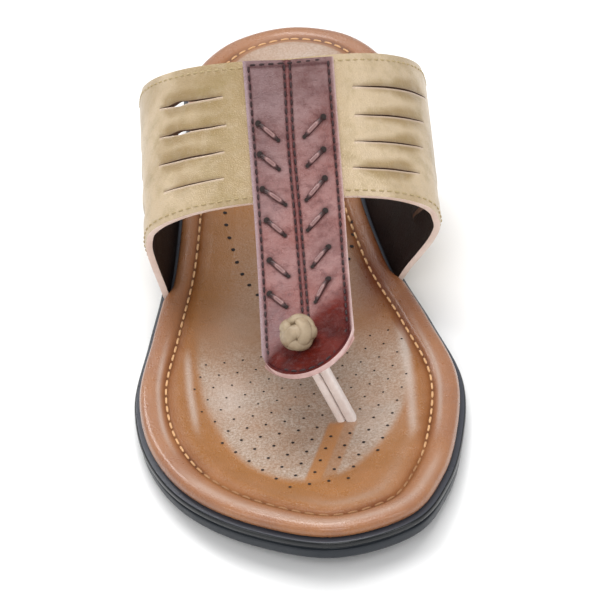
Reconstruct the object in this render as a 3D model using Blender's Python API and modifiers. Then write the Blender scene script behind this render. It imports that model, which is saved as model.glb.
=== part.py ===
"""Right-foot toe-post sandal: moulded sole, padded footbed, slit instep band, toe strap, lace post and knot.

Sizes are in metres, +Z is up, the toe points to -Y and the inner (big toe) side is +X.
Every outline is first worked out in the sandal's own plan: x across, s forward from the back of the heel.
"""

import math

import bmesh
import bpy
import numpy as np

MM = 0.001

# Plan of the sole
LENGTH = 250 * MM
BALL_WIDTH = 88.5 * MM
OUTLINE_POINTS = 76

# share of LENGTH forward, shares of BALL_WIDTH to the inner side and to the outer side
OUTLINE = (
    {"forward": 0.024, "inner": 0.215, "outer": 0.190},
    {"forward": 0.100, "inner": 0.362, "outer": 0.345},
    {"forward": 0.220, "inner": 0.335, "outer": 0.360},
    {"forward": 0.360, "inner": 0.245, "outer": 0.398},
    {"forward": 0.500, "inner": 0.297, "outer": 0.434},
    {"forward": 0.620, "inner": 0.394, "outer": 0.490},
    {"forward": 0.728, "inner": 0.463, "outer": 0.533},
    {"forward": 0.820, "inner": 0.440, "outer": 0.496},
    {"forward": 0.900, "inner": 0.382, "outer": 0.390},
    {"forward": 0.964, "inner": 0.285, "outer": 0.202},
)
HEEL_TIP = 0.015
TOE_TIP = 0.045

# Sole unit, seen from the side
FORE_THICKNESS = 6.1 * MM
HEEL_THICKNESS = 6.9 * MM
ARCH_LIFT = 3.2 * MM
ARCH_FROM = 0.24
ARCH_TO = 0.57
TOE_SPRING = 6.4 * MM
SPRING_FROM = 0.72

# Side of the sole unit, bottom to top: share of its thickness, and share of the largest set-in
SOLE_SET_IN = 1.9 * MM
SOLE_SIDE = (
    {"rise": 0.00, "set_in": 1.00},
    {"rise": 0.13, "set_in": 0.37},
    {"rise": 0.52, "set_in": 0.26},
    {"rise": 0.58, "set_in": 0.58},
    {"rise": 0.66, "set_in": 0.58},
    {"rise": 0.73, "set_in": 0.11},
    {"rise": 0.88, "set_in": 0.00},
    {"rise": 1.00, "set_in": 0.37},
)
SOLE_FACE_IN = 9 * MM

# Tread, cut across the heel and the ball
TREAD_DEPTH = 1.1 * MM
TREAD_WIDTH = 2.6 * MM
TREAD_PITCH = 7.5 * MM
TREAD_EDGE = 9 * MM
HEEL_TREAD = (0.055, 0.215)
BALL_TREAD = (0.585, 0.715)

# Footbed: board, foam and wrapped leather, from the foot of its edge to its middle.
# inset is a share of the border's width, in from the outline, and height a share of the rim's height
GAP = 0.3 * MM
FOOTBED_BORDER = 19 * MM
RIM_HEIGHT = 3.8 * MM
FOOTBED_SECTION = (
    {"inset": 0.121, "height": 0.00},
    {"inset": 0.089, "height": 0.16},
    {"inset": 0.084, "height": 0.45},
    {"inset": 0.116, "height": 0.76},
    {"inset": 0.184, "height": 0.95},
    {"inset": 0.274, "height": 1.00},
    {"inset": 0.379, "height": 0.89},
    {"inset": 0.463, "height": 0.68},
    {"inset": 0.537, "height": 0.79},
    {"inset": 0.663, "height": 0.82},
    {"inset": 0.816, "height": 0.71},
    {"inset": 1.000, "height": 0.66},
)
FOOTBED_MIDDLE = FOOTBED_SECTION[-1]["height"] * RIM_HEIGHT
FOOTBED_FACE_IN = 8 * MM

# Instep band: a wide arch of lined leather, lasted in under the footbed
BAND_WALL = 1.8 * MM
BAND_SET_IN = 1.1 * MM
BAND_TOP_REAR = 0.484 * LENGTH
BAND_TOP_FRONT = 0.620 * LENGTH
BAND_FOOT_REAR = 0.252 * LENGTH
BAND_FOOT_FRONT = 0.542 * LENGTH
BAND_INNER_REACH = 0.436 * BALL_WIDTH
BAND_OUTER_REACH = 0.470 * BALL_WIDTH
BAND_SWEEP = 0.8
BAND_RIDGE_X = 0.8 * MM
LASTING_MARGIN = 10 * MM
LASTING_CLEARANCE = 0.45 * MM

# The arch from its ridge down to the sole: share of the drop, share of the reach, share of the foot
ARCH = (
    {"drop": 0.000, "reach": 0.00, "foot": 0.00},
    {"drop": 0.018, "reach": 0.34, "foot": 0.00},
    {"drop": 0.058, "reach": 0.56, "foot": 0.00},
    {"drop": 0.110, "reach": 0.72, "foot": 0.00},
    {"drop": 0.190, "reach": 0.87, "foot": 0.00},
    {"drop": 0.280, "reach": 0.96, "foot": 0.00},
    {"drop": 0.370, "reach": 0.99, "foot": 0.00},
    {"drop": 0.470, "reach": 1.00, "foot": 0.00},
    {"drop": 0.600, "reach": 0.84, "foot": 0.16},
    {"drop": 0.740, "reach": 0.55, "foot": 0.45},
    {"drop": 0.870, "reach": 0.25, "foot": 0.75},
    {"drop": 1.000, "reach": 0.00, "foot": 1.00},
)

# Ridge line over the foot, which the band's top and the strap's underside follow:
# share of the sole's length, and share of the crown's height
CROWN_HEIGHT = 73 * MM
RIDGE = (
    {"forward": 0.484, "height": 1.000},
    {"forward": 0.520, "height": 0.904},
    {"forward": 0.560, "height": 0.815},
    {"forward": 0.600, "height": 0.733},
    {"forward": 0.620, "height": 0.692},
    {"forward": 0.660, "height": 0.619},
    {"forward": 0.696, "height": 0.566},
    {"forward": 0.736, "height": 0.521},
    {"forward": 0.776, "height": 0.488},
    {"forward": 0.812, "height": 0.474},
    {"forward": 0.844, "height": 0.471},
)

# Slits in the band: two groups on each side, as shares of the way from ridge to sole
SLIT_ROWS = (0.22, 0.42, 0.61, 0.80)
SLIT_GROUPS = ((0.18, 0.45), (0.57, 0.79))
SLIT_WIDTH = 1.3 * MM
SLIT_END_WIDTH = 0.5 * MM

# Toe strap, laid over the band and twisted towards the outer side at its tip
STRAP_WALL = 1.6 * MM
STRAP_WIDTH = 23.6 * MM
STRAP_MIDDLE = 0.8 * MM
STRAP_REAR = BAND_TOP_REAR
STRAP_TIP = 0.844 * LENGTH
STRAP_TWIST = 17
TWIST_FROM = BAND_TOP_FRONT
TWIST_TO = 0.812 * LENGTH
STRAP_ROWS = 26
STRAP_COLUMNS = 12
TIP_ROUNDING = 17 * MM

# Toe post, a folded lace from the footbed through the strap, and its knot
POST_FOOT_X = 8.9 * MM
POST_FOOT_S = 0.787 * LENGTH
POST_TOP_X = 0.4 * MM
POST_TOP_S = 0.797 * LENGTH
POST_WIDTH = 4.8 * MM
POST_DEPTH = 3.8 * MM
POST_SEAM = 0.35 * MM
POST_END_LIFT = 1.1 * MM
POST_SIDES = 20
KNOT_WIDTH = 10.6 * MM
KNOT_HEIGHT = 7.4 * MM
KNOT_LOBES = 5
KNOT_LOBE_DEPTH = 0.075
KNOT_TWIST = 1.1
KNOT_AROUND = 40
KNOT_UP = 14


def column(table, name):
    """One named column of a table, as an array."""
    return np.array([row[name] for row in table])


def smooth(at, knots, values):
    """Cubic through the knots, with each tangent the weighted mean of the slopes beside it."""
    at, knots, values = np.asarray(at, float), np.asarray(knots, float), np.asarray(values, float)
    step = np.diff(knots)
    slope = (np.diff(values, axis=0).T / step).T
    inner = ((slope[:-1].T * step[1:] + slope[1:].T * step[:-1]) / (step[1:] + step[:-1])).T
    tangent = np.concatenate([slope[:1], inner, slope[-1:]])
    i = np.clip(np.searchsorted(knots, at, side="right") - 1, 0, len(step) - 1)
    h = step[i]
    t = (at - knots[i]) / h
    if values.ndim > 1:
        h, t = h[:, None], t[:, None]
    rise = (1 + 2 * t) * (1 - t) ** 2 * values[i] + t**2 * (3 - 2 * t) * values[i + 1]
    return rise + h * (t * (1 - t) ** 2 * tangent[i] - t**2 * (1 - t) * tangent[i + 1])


def soft_step(t):
    """Eases from 0 to 1."""
    t = np.clip(t, 0, 1)
    return t * t * (3 - 2 * t)


def along(points, shares):
    """Points at these shares of the length of a line of points."""
    run = np.r_[0, np.cumsum(np.linalg.norm(np.diff(points, axis=0), axis=1))]
    return np.stack([np.interp(np.asarray(shares) * run[-1], run, c) for c in points.T], axis=1)


def outline(count=OUTLINE_POINTS):
    """The sole's closed plan: heel back, up the inner side to the toe, and down the outer side."""
    forward = column(OUTLINE, "forward") * LENGTH
    inner = np.c_[column(OUTLINE, "inner") * BALL_WIDTH, forward]
    outer = np.c_[-column(OUTLINE, "outer") * BALL_WIDTH, forward]
    heel, toe = [[HEEL_TIP * BALL_WIDTH, 0]], [[TOE_TIP * BALL_WIDTH, LENGTH]]
    loop = np.concatenate([heel, inner, toe, outer[::-1]])
    padded = np.concatenate([loop[-2:], loop, loop[:3]])
    run = np.r_[0, np.cumsum(np.linalg.norm(np.diff(padded, axis=0), axis=1))]
    at_heel, at_toe, at_end = run[2], run[2 + len(inner) + 1], run[2 + len(loop)]
    half = np.linspace(0, 1, count // 2 + 1)
    inner_side = along(smooth(np.linspace(at_heel, at_toe, 400), run, padded), half)
    outer_side = along(smooth(np.linspace(at_toe, at_end, 400), run, padded), half)
    return np.concatenate([inner_side[:-1], outer_side[:-1]])


def inset(ring, distance):
    """The closed plan moved in by a distance, square to itself."""
    tangent = np.roll(ring, -1, axis=0) - np.roll(ring, 1, axis=0)
    normal = np.c_[-tangent[:, 1], tangent[:, 0]] / np.linalg.norm(tangent, axis=1)[:, None]
    return ring + normal * distance


PLAN = outline()
FINE_PLAN = outline(600)
CENTRE_X = (FINE_PLAN[:, 0].max() + FINE_PLAN[:, 0].min()) / 2
CENTRE_S = LENGTH / 2


def edge_x(s, side, distance):
    """x of the outline, moved in by a distance, at s; side is +1 for inner and -1 for outer."""
    ring = inset(FINE_PLAN, distance)
    half = len(ring) // 2
    line = ring[: half + 1] if side > 0 else np.concatenate([ring[half:], ring[:1]])[::-1]
    return np.interp(s, line[:, 1], line[:, 0])


def sole_bottom(s):
    """Height of the sole's underside: flat at heel and ball, lifted at the waist and the toe."""
    share = np.asarray(s) / LENGTH
    arch = np.clip((share - ARCH_FROM) / (ARCH_TO - ARCH_FROM), 0, 1)
    spring = np.clip((share - SPRING_FROM) / (1 - SPRING_FROM), 0, None)
    return ARCH_LIFT * np.sin(np.pi * arch) ** 2 + TOE_SPRING * spring**2


def sole_thickness(s):
    """Thickness of the sole unit, easing from the heel's to the forefoot's along the waist."""
    share = (np.asarray(s) / LENGTH - ARCH_FROM) / (ARCH_TO - ARCH_FROM)
    return HEEL_THICKNESS + (FORE_THICKNESS - HEEL_THICKNESS) * soft_step(share)


def sole_top(s):
    """Height of the sole's upper face."""
    return sole_bottom(s) + sole_thickness(s)


def place(x, s, z):
    """Plan x, s and height z as a row frame point, with the footprint's centre at the origin."""
    x, s, z = np.broadcast_arrays(x, s, z)
    return np.stack([x - CENTRE_X, CENTRE_S - s, z], axis=-1)


def mesh_object(name, points, faces, collection):
    """A new object from points and faces, with its doubles merged and its faces pointing out."""
    mesh = bpy.data.meshes.new(name)
    mesh.from_pydata(np.asarray(points).reshape(-1, 3).tolist(), [], faces)
    work = bmesh.new()
    work.from_mesh(mesh)
    bmesh.ops.remove_doubles(work, verts=work.verts, dist=0.005 * MM)
    bmesh.ops.recalc_face_normals(work, faces=work.faces)
    work.to_mesh(mesh)
    work.free()
    item = bpy.data.objects.new(name, mesh)
    collection.objects.link(item)
    return item


def ring_faces(rings, around):
    """Quads between each closed ring of points and the next."""
    faces = []
    for r in range(rings - 1):
        for i in range(around):
            j = (i + 1) % around
            faces.append((r * around + i, r * around + j, (r + 1) * around + j, (r + 1) * around + i))
    return faces


def closing_faces(first, around):
    """Quads across a ring, from each inner side point to the outer side point beside it."""
    half = around // 2
    faces = [(first, first + 1, first + around - 1)]
    for i in range(1, half - 1):
        faces.append((first + i, first + i + 1, first + around - i - 1, first + around - i))
    faces.append((first + half - 1, first + half, first + half + 1))
    return faces


def sole_like(name, rings, collection):
    """A closed body from rings that run from its underside, round its edge, to its upper face."""
    around = len(rings[0])
    faces = ring_faces(len(rings), around)
    faces += closing_faces(0, around) + closing_faces((len(rings) - 1) * around, around)
    return mesh_object(name, np.concatenate(rings), faces, collection)


def grid_faces(rows, columns, keep=None):
    """Quads of a grid of points, without the cells that keep says no to."""
    faces = []
    for r in range(rows - 1):
        for c in range(columns - 1):
            if keep is None or keep(r, c):
                a = r * columns + c
                faces.append((a, a + 1, a + columns + 1, a + columns))
    return faces


def sheet_object(name, points, thickness, offset, collection, keep=None):
    """A leather sheet: a grid of points with a wall of even thickness."""
    rows, columns = points.shape[:2]
    item = mesh_object(name, points, grid_faces(rows, columns, keep), collection)
    wall = item.modifiers.new("wall", "SOLIDIFY")
    wall.thickness = thickness
    wall.offset = offset
    wall.use_even_offset = True
    wall.use_quality_normals = True
    return item


def cut(item, cutter):
    """Takes a cutter out of an item."""
    knife = item.modifiers.new("cut " + cutter.name, "BOOLEAN")
    knife.operation = "DIFFERENCE"
    knife.object = cutter
    cutter.hide_render = True
    cutter.display_type = "WIRE"


def finish(item, colour, roughness, metallic=0.0, sharp=40):
    """Gives an item its material and smooth shading."""
    material = bpy.data.materials.new(item.name)
    material.use_nodes = True
    shader = material.node_tree.nodes["Principled BSDF"]
    shader.inputs["Base Color"].default_value = (*colour, 1)
    shader.inputs["Roughness"].default_value = roughness
    shader.inputs["Metallic"].default_value = metallic
    item.data.materials.append(material)
    item.data.shade_smooth()
    item.data.set_sharp_from_angle(angle=math.radians(sharp))


def make_outsole(parts, cutters):
    """The moulded rubber unit: rounded lower wall, groove, lip, and cross grooves under heel and ball."""

    def ring(distance, height):
        plan = inset(PLAN, distance)
        return place(plan[:, 0], plan[:, 1], height(plan[:, 1]))

    def at(rise):
        return lambda s: sole_bottom(s) + rise * sole_thickness(s)

    rings = [ring(SOLE_FACE_IN, sole_bottom)]
    rings += [ring(row["set_in"] * SOLE_SET_IN, at(row["rise"])) for row in SOLE_SIDE]
    rings += [ring(SOLE_FACE_IN, sole_top)]
    item = sole_like("outsole", rings, parts)
    for name, zone in (("heel_tread", HEEL_TREAD), ("ball_tread", BALL_TREAD)):
        cut(item, tread_cutter(name, zone, cutters))
    finish(item, (0.016, 0.018, 0.022), 0.42)
    return item


def tread_cutter(name, zone, cutters):
    """Bars that stop short of the sole's edge, one for each groove of a zone."""
    start, end = zone[0] * LENGTH, zone[1] * LENGTH
    count = int((end - start) / TREAD_PITCH) + 1
    work = bmesh.new()
    for s in start + TREAD_PITCH * np.arange(count):
        left, right = edge_x(s, -1, TREAD_EDGE), edge_x(s, 1, TREAD_EDGE)
        middle = place((left + right) / 2, s, 0)
        bar = bmesh.ops.create_cube(work, size=1)["verts"]
        bmesh.ops.scale(work, vec=(right - left, TREAD_WIDTH, 2 * TREAD_DEPTH), verts=bar)
        bmesh.ops.translate(work, vec=middle.tolist(), verts=bar)
    mesh = bpy.data.meshes.new(name)
    work.to_mesh(mesh)
    work.free()
    cutter = bpy.data.objects.new(name, mesh)
    cutters.objects.link(cutter)
    return cutter


def make_footbed(parts, cutters):
    """The padded footbed: wrapped rim, stitched groove and cupped middle, cut for band and post."""
    base = lambda s: sole_top(s) + GAP
    plan = inset(PLAN, FOOTBED_FACE_IN)
    rings = [place(plan[:, 0], plan[:, 1], base(plan[:, 1]))]
    for row in FOOTBED_SECTION:
        plan = inset(PLAN, row["inset"] * FOOTBED_BORDER)
        rings.append(place(plan[:, 0], plan[:, 1], base(plan[:, 1]) + row["height"] * RIM_HEIGHT))
    item = sole_like("footbed", rings, parts)
    for side in (1, -1):
        cut(item, lasting_cutter(side, cutters))
    cut(item, lace("footbed_hole", GAP, -STRAP_WALL, cutters))
    finish(item, (0.52, 0.25, 0.11), 0.38)
    return item


def ridge(s):
    """Height of the ridge line over the foot at s."""
    return smooth(s, column(RIDGE, "forward") * LENGTH, column(RIDGE, "height") * CROWN_HEIGHT)


def arch_curve(across, name):
    """One column of the arch at across, rounded over the ridge by the first row of the other side."""
    step = 1 / (len(ARCH) - 1)
    mirrored = -1 if name == "reach" else 1
    values = column(ARCH, name)
    values = np.r_[mirrored * values[1], values]
    return smooth(across, step * np.arange(-1, len(ARCH)), values)


def arch_point(side, across, top_s, foot_s):
    """Points of the band's outer face. across runs from 0 at the ridge to 1 at the sole."""
    drop = np.clip(arch_curve(across, "drop"), 0, 1)
    reach, foot = arch_curve(across, "reach"), arch_curve(across, "foot")
    s = top_s - (top_s - foot_s) * drop**BAND_SWEEP
    foot_z = sole_top(foot_s) + GAP
    z = ridge(top_s) - (ridge(top_s) - foot_z) * drop
    widest = BAND_INNER_REACH if side > 0 else -BAND_OUTER_REACH
    foot_x = edge_x(foot_s, side, BAND_SET_IN)
    x = BAND_RIDGE_X * (1 - reach - foot) + widest * reach + foot_x * foot
    return np.stack(np.broadcast_arrays(x, s, z), axis=-1)


def band_ends(v):
    """s of the ridge and of the foot at v, which runs from 0 at the rear edge to 1 at the front."""
    top_s = BAND_TOP_REAR + (BAND_TOP_FRONT - BAND_TOP_REAR) * v
    return top_s, BAND_FOOT_REAR + (BAND_FOOT_FRONT - BAND_FOOT_REAR) * v


def band_line(side, v, shares, margin):
    """One line of the band at v: down from the ridge, then in under the footbed by the margin."""
    top_s, foot_s = band_ends(v)
    dense = arch_point(side, np.linspace(0, 1, 160), np.full(160, top_s), np.full(160, foot_s))
    wall = along(dense, shares)
    under = []
    for step in (0.4, 1.0):
        x = edge_x(foot_s, side, BAND_SET_IN + step * margin)
        under.append([x, foot_s, sole_top(foot_s) + GAP])
    return np.concatenate([wall, under])


def slit_lines():
    """v of the band's grid rows, and the row just before each slit."""
    span = BAND_TOP_FRONT - BAND_TOP_REAR
    half = 0.5 * SLIT_WIDTH / span
    lines = [0.0]
    before = []
    for centre in SLIT_ROWS:
        lines.append((lines[-1] + centre - half) / 2)
        before.append(len(lines))
        lines += [centre - half, centre + half]
    return lines + [(lines[-1] + 1) / 2, 1.0], before


def slit_shares():
    """Shares of the way down for the band's grid columns, and which columns lie in a slit."""
    marks = [0.0] + [end for group in SLIT_GROUPS for end in group] + [1.0]
    pieces = (4, 6, 3, 5, 4)
    shares = [0.0]
    cells = []
    for k, (low, high) in enumerate(zip(marks[:-1], marks[1:])):
        cells += [k % 2 == 1] * pieces[k]
        shares += list(np.linspace(low, high, pieces[k] + 1)[1:])
    return np.array(shares), cells


def make_band(parts):
    """The instep band: one lined leather arch with its slits, lasted in at both feet."""
    lines, before = slit_lines()
    shares, in_slit = slit_shares()
    marks = [end for group in SLIT_GROUPS for end in group]
    shape = np.full(len(shares), SLIT_END_WIDTH / SLIT_WIDTH)
    for low, high in zip(marks[::2], marks[1::2]):
        inside = np.clip((shares - low) / (high - low), 0, 1)
        shape = np.maximum(shape, np.sin(np.pi * inside) ** 0.5)
    rows = []
    for k, v in enumerate(lines):
        middle = v
        for b in before:
            if k in (b, b + 1):
                middle = (lines[b] + lines[b + 1]) / 2
        sides = []
        for side in (1, -1):
            line = band_line(side, v, shares, LASTING_MARGIN)
            centre = band_line(side, middle, shares, LASTING_MARGIN)
            line[: len(shares)] = centre[: len(shares)] + (line - centre)[: len(shares)] * shape[:, None]
            sides.append(line)
        rows.append(np.concatenate([sides[0][::-1], sides[1][1:]]))
    points = np.array(rows)
    pads = points.shape[1] - 2 * len(in_slit)
    cells = [False] * (pads // 2) + in_slit[::-1] + in_slit + [False] * (pads // 2)
    keep = lambda r, c: not (r in before and cells[c])
    world = place(points[..., 0], points[..., 1], points[..., 2])
    item = sheet_object("instep_band", world, BAND_WALL, -1.0, parts, keep)
    finish(item, (0.55, 0.44, 0.27), 0.36, 0.35)
    return item


def lasting_cutter(side, cutters):
    """The band's foot on one side, with clearance all round, for cutting the footbed."""
    wall = BAND_WALL + 2 * LASTING_CLEARANCE
    past = 2 * LASTING_CLEARANCE / (BAND_FOOT_FRONT - BAND_FOOT_REAR)
    rows = [-past, *slit_lines()[0], 1 + past]
    shares = slit_shares()[0][-5:]
    points = np.array([band_line(side, v, shares, LASTING_MARGIN + LASTING_CLEARANCE) for v in rows])
    name = "inner_lasting" if side > 0 else "outer_lasting"
    world = place(points[..., 0], points[..., 1], points[..., 2])
    cutter = sheet_object(name, world, wall, 2 * LASTING_CLEARANCE / wall - 1, cutters)
    return cutter


def strap_face(x, s):
    """The strap's underside at plan x and ridge station s: the band's own arch, then the twist."""
    off = x - BAND_RIDGE_X
    widest = np.where(off > 0, BAND_INNER_REACH - BAND_RIDGE_X, BAND_OUTER_REACH + BAND_RIDGE_X)
    fine = np.linspace(0, 1, 20 * len(ARCH))
    reach = arch_curve(fine, "reach")
    drop_line = np.clip(arch_curve(fine, "drop"), 0, 1)
    upper = reach.argmax()
    drop = np.interp(np.abs(off) / widest, reach[:upper], drop_line[:upper])
    v = (s - BAND_TOP_REAR) / (BAND_TOP_FRONT - BAND_TOP_REAR)
    foot_s = np.minimum(BAND_FOOT_REAR + (BAND_FOOT_FRONT - BAND_FOOT_REAR) * v, s)
    foot_z = sole_top(foot_s) + GAP
    turn = math.tan(math.radians(STRAP_TWIST)) * soft_step((s - TWIST_FROM) / (TWIST_TO - TWIST_FROM))
    z = ridge(s) - (ridge(s) - foot_z) * drop + turn * (x - STRAP_MIDDLE)
    return np.stack(np.broadcast_arrays(x, s - (s - foot_s) * drop**BAND_SWEEP, z), axis=-1)


def make_strap(parts, cutters):
    """The toe strap, from the band's rear edge to a rounded tip, with a slot for the post."""
    half = STRAP_WIDTH / 2
    share = np.linspace(-1, 1, STRAP_COLUMNS + 1)
    end = STRAP_TIP - TIP_ROUNDING * (1 - np.sqrt(1 - (0.97 * share) ** 2))
    forward = np.linspace(0, 1, STRAP_ROWS + 1)
    s = STRAP_REAR + (end[None, :] - STRAP_REAR) * forward[:, None]
    x = np.broadcast_to(STRAP_MIDDLE + half * share[None, :], s.shape)
    face = strap_face(x, s)
    world = place(face[..., 0], face[..., 1], face[..., 2])
    wall = STRAP_WALL + GAP
    item = sheet_object("toe_strap", world, STRAP_WALL, 1.0, parts)
    lift = item.modifiers.new("clear of the band", "DISPLACE")
    lift.strength = GAP
    lift.mid_level = 0
    item.modifiers.move(1, 0)
    cut(item, lace("strap_slot", GAP, wall, cutters))
    finish(item, (0.20, 0.075, 0.07), 0.45)
    return item


def post_ends():
    """The middle of the post where it enters the footbed and where it leaves the strap."""
    foot_z = sole_top(POST_FOOT_S) + GAP
    foot = place(POST_FOOT_X, POST_FOOT_S, foot_z + FOOTBED_MIDDLE)
    face = strap_face(np.array([POST_TOP_X]), np.array([POST_TOP_S]))[0]
    return foot, place(face[0], face[1], face[2])


def post_frame():
    """The post's foot, top, and the directions along it, across it and through it."""
    foot, top = post_ends()
    axis = (top - foot) / np.linalg.norm(top - foot)
    through = np.cross(axis, (1, 0, 0))
    through /= np.linalg.norm(through)
    return foot, top, axis, np.cross(through, axis), through


def lace(name, clearance, beyond, collection):
    """The folded lace as a body, grown by a clearance and run on past both of its ends."""
    foot, top, axis, across, through = post_frame()
    sink = FOOTBED_MIDDLE / axis[2]
    angle = np.linspace(0, 2 * np.pi, POST_SIDES, endpoint=False)
    seam = POST_SEAM * np.cos(angle) ** 16 if clearance == 0 else 0
    wide = (POST_WIDTH / 2 + clearance) * np.sin(angle)
    deep = (POST_DEPTH / 2 + clearance - seam) * np.cos(angle)
    section = wide[:, None] * across + deep[:, None] * through
    low = foot - axis * (sink + (4 * clearance if clearance else -POST_END_LIFT))
    high = top + axis * (GAP + STRAP_WALL + beyond)
    levels = [low + (high - low) * t for t in np.linspace(0, 1, 7)]
    points = np.concatenate([level + section for level in levels])
    caps = [tuple(range(POST_SIDES)), tuple(range(6 * POST_SIDES, 7 * POST_SIDES))]
    return mesh_object(name, points, ring_faces(7, POST_SIDES) + caps, collection)


def make_post(parts):
    """The toe post: a strip of leather folded double, from the footbed up through the strap."""
    item = lace("toe_post", 0, 0, parts)
    finish(item, (0.72, 0.60, 0.52), 0.45)
    return item


def make_knot(parts):
    """The knot that holds the post: a flattened ball of strands that turn round its top."""
    _, top, axis, across, through = post_frame()
    seat = top + axis * (STRAP_WALL + 2.0 * GAP)
    up = np.linspace(0, 1, KNOT_UP + 1)
    around = np.linspace(0, 2 * np.pi, KNOT_AROUND, endpoint=False)
    tilt = np.pi * up[:, None]
    swirl = np.cos(KNOT_LOBES * (around[None, :] - KNOT_TWIST * np.cos(tilt)))
    swell = 1 + KNOT_LOBE_DEPTH * swirl * np.sin(tilt)
    radius = KNOT_WIDTH / 2 / (1 + KNOT_LOBE_DEPTH) * np.sin(tilt) ** 0.8 * swell
    height = KNOT_HEIGHT / 2 * (1 - np.cos(tilt)) * np.ones_like(around)[None, :]
    points = seat + height[..., None] * axis
    points = points + (radius * np.cos(around))[..., None] * across
    points = points + (radius * np.sin(around))[..., None] * through
    item = mesh_object("post_knot", points, ring_faces(KNOT_UP + 1, KNOT_AROUND), parts)
    finish(item, (0.62, 0.52, 0.38), 0.4)
    return item


def main():
    for item in list(bpy.data.objects):
        bpy.data.objects.remove(item)
    parts = bpy.data.collections.new("toe_post_sandal")
    cutters = bpy.data.collections.new("cutters")
    bpy.context.scene.collection.children.link(parts)
    bpy.context.scene.collection.children.link(cutters)
    make_outsole(parts, cutters)
    make_footbed(parts, cutters)
    make_band(parts)
    make_strap(parts, cutters)
    make_post(parts)
    make_knot(parts)


main()
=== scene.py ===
"""Right-foot toe-post sandal in leather and rubber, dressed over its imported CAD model.

Distances are in metres. In plan, x runs across the foot with the big toe side positive, and s runs
forward from the back of the heel. The row frame has the toe at -Y and the ground at Z = 0.
"""
import math

import bmesh
import bpy
import mathutils
import numpy as np
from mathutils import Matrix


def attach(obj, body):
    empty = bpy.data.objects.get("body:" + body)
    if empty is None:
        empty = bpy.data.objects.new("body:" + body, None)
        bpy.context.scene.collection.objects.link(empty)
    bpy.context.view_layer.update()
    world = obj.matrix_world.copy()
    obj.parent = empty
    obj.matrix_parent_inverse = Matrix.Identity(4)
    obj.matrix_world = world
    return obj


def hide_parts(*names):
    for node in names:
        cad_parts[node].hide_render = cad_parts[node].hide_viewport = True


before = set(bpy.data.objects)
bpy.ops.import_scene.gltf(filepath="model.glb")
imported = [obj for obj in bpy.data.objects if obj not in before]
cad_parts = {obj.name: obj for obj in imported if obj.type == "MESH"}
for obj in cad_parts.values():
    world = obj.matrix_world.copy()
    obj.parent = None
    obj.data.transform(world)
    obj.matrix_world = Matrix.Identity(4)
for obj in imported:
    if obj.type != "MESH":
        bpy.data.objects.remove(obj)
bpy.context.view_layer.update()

# Outsole. One moulding of thin black rubber that the finished footbed is glued down on. Its side has
# a glossy rounded lip, a groove under the lip and a matt wall, and its face is grooved across.
MM = 0.001
LENGTH = 250 * MM
BALL_WIDTH = 88.5 * MM
AROUND = 480
ACROSS = 48


def table(names, *rows):
    """Rows with named columns: the names in one string, then a tuple of values for each row."""
    return [dict(zip(names.split(), row)) for row in rows]


OUTLINE = table(
    "forward inner outer",
    (0.024, 0.215, 0.190),
    (0.100, 0.362, 0.345),
    (0.220, 0.335, 0.360),
    (0.360, 0.245, 0.398),
    (0.500, 0.297, 0.434),
    (0.620, 0.394, 0.490),
    (0.728, 0.463, 0.533),
    (0.820, 0.440, 0.496),
    (0.900, 0.382, 0.390),
    (0.964, 0.285, 0.202),
)
HEEL_TIP = 0.015
TOE_TIP = 0.045
SOLE_SIDE = table(
    "rise set_in",
    (0.00, 1.9),
    (0.05, 1.2),
    (0.13, 0.7),
    (0.30, 0.5),
    (0.50, 0.5),
    (0.57, 1.0),
    (0.63, 1.2),
    (0.68, 0.6),
    (0.75, 0.1),
    (0.86, 0.0),
    (0.95, 0.2),
    (1.00, 0.7),
)
TREAD_ZONES = ((0.055, 0.215), (0.585, 0.715))
TREAD_PITCH = 7.5 * MM
TREAD_DEPTH = 1.1 * MM
WAIST_FROM = 0.24
WAIST_RUNS = 0.33
WAIST_LIFT = 3.2 * MM
SPRING_FROM = 0.72
TOE_SPRING = 6.4 * MM
RUBBER_AT_HEEL = 6.9 * MM
RUBBER_THINS_BY = 0.8 * MM
LIP_ROW = 25
EDGE_ROW = 42


def column(rows, name):
    """One named column of a table, as an array."""
    return np.array([row[name] for row in rows])


def smooth(at, knots, values):
    """Cubic through the knots, with each tangent the weighted mean of the slopes beside it."""
    at, knots, values = np.asarray(at, float), np.asarray(knots, float), np.asarray(values, float)
    step = np.diff(knots)
    slope = (np.diff(values, axis=0).T / step).T
    inner = ((slope[:-1].T * step[1:] + slope[1:].T * step[:-1]) / (step[1:] + step[:-1])).T
    tangent = np.concatenate([slope[:1], inner, slope[-1:]])
    i = np.clip(np.searchsorted(knots, at, side="right") - 1, 0, len(step) - 1)
    h = step[i]
    t = (at - knots[i]) / h
    if values.ndim > 1:
        h, t = h[:, None], t[:, None]
    rise = (1 + 2 * t) * (1 - t) ** 2 * values[i] + t**2 * (3 - 2 * t) * values[i + 1]
    return rise + h * (t * (1 - t) ** 2 * tangent[i] - t**2 * (1 - t) * tangent[i + 1])


def ease(t):
    """Three t squared less two t cubed: from 0 to 1 with flat ends, and held beyond them."""
    t = np.clip(t, 0, 1)
    return t * t * (3 - 2 * t)


def lengths(points):
    """Length along a line of points, up to each of them."""
    return np.r_[0, np.cumsum(np.linalg.norm(np.diff(points, axis=0), axis=1))]


def on_line(line, run, at):
    """Points, or normals, of a line whose lengths are run, at these lengths along it."""
    return np.stack([np.interp(at, run, c) for c in line.T], axis=1)


def along(points, shares):
    """Points at these shares of a line's length."""
    run = lengths(points)
    return on_line(points, run, np.asarray(shares) * run[-1])


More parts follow.
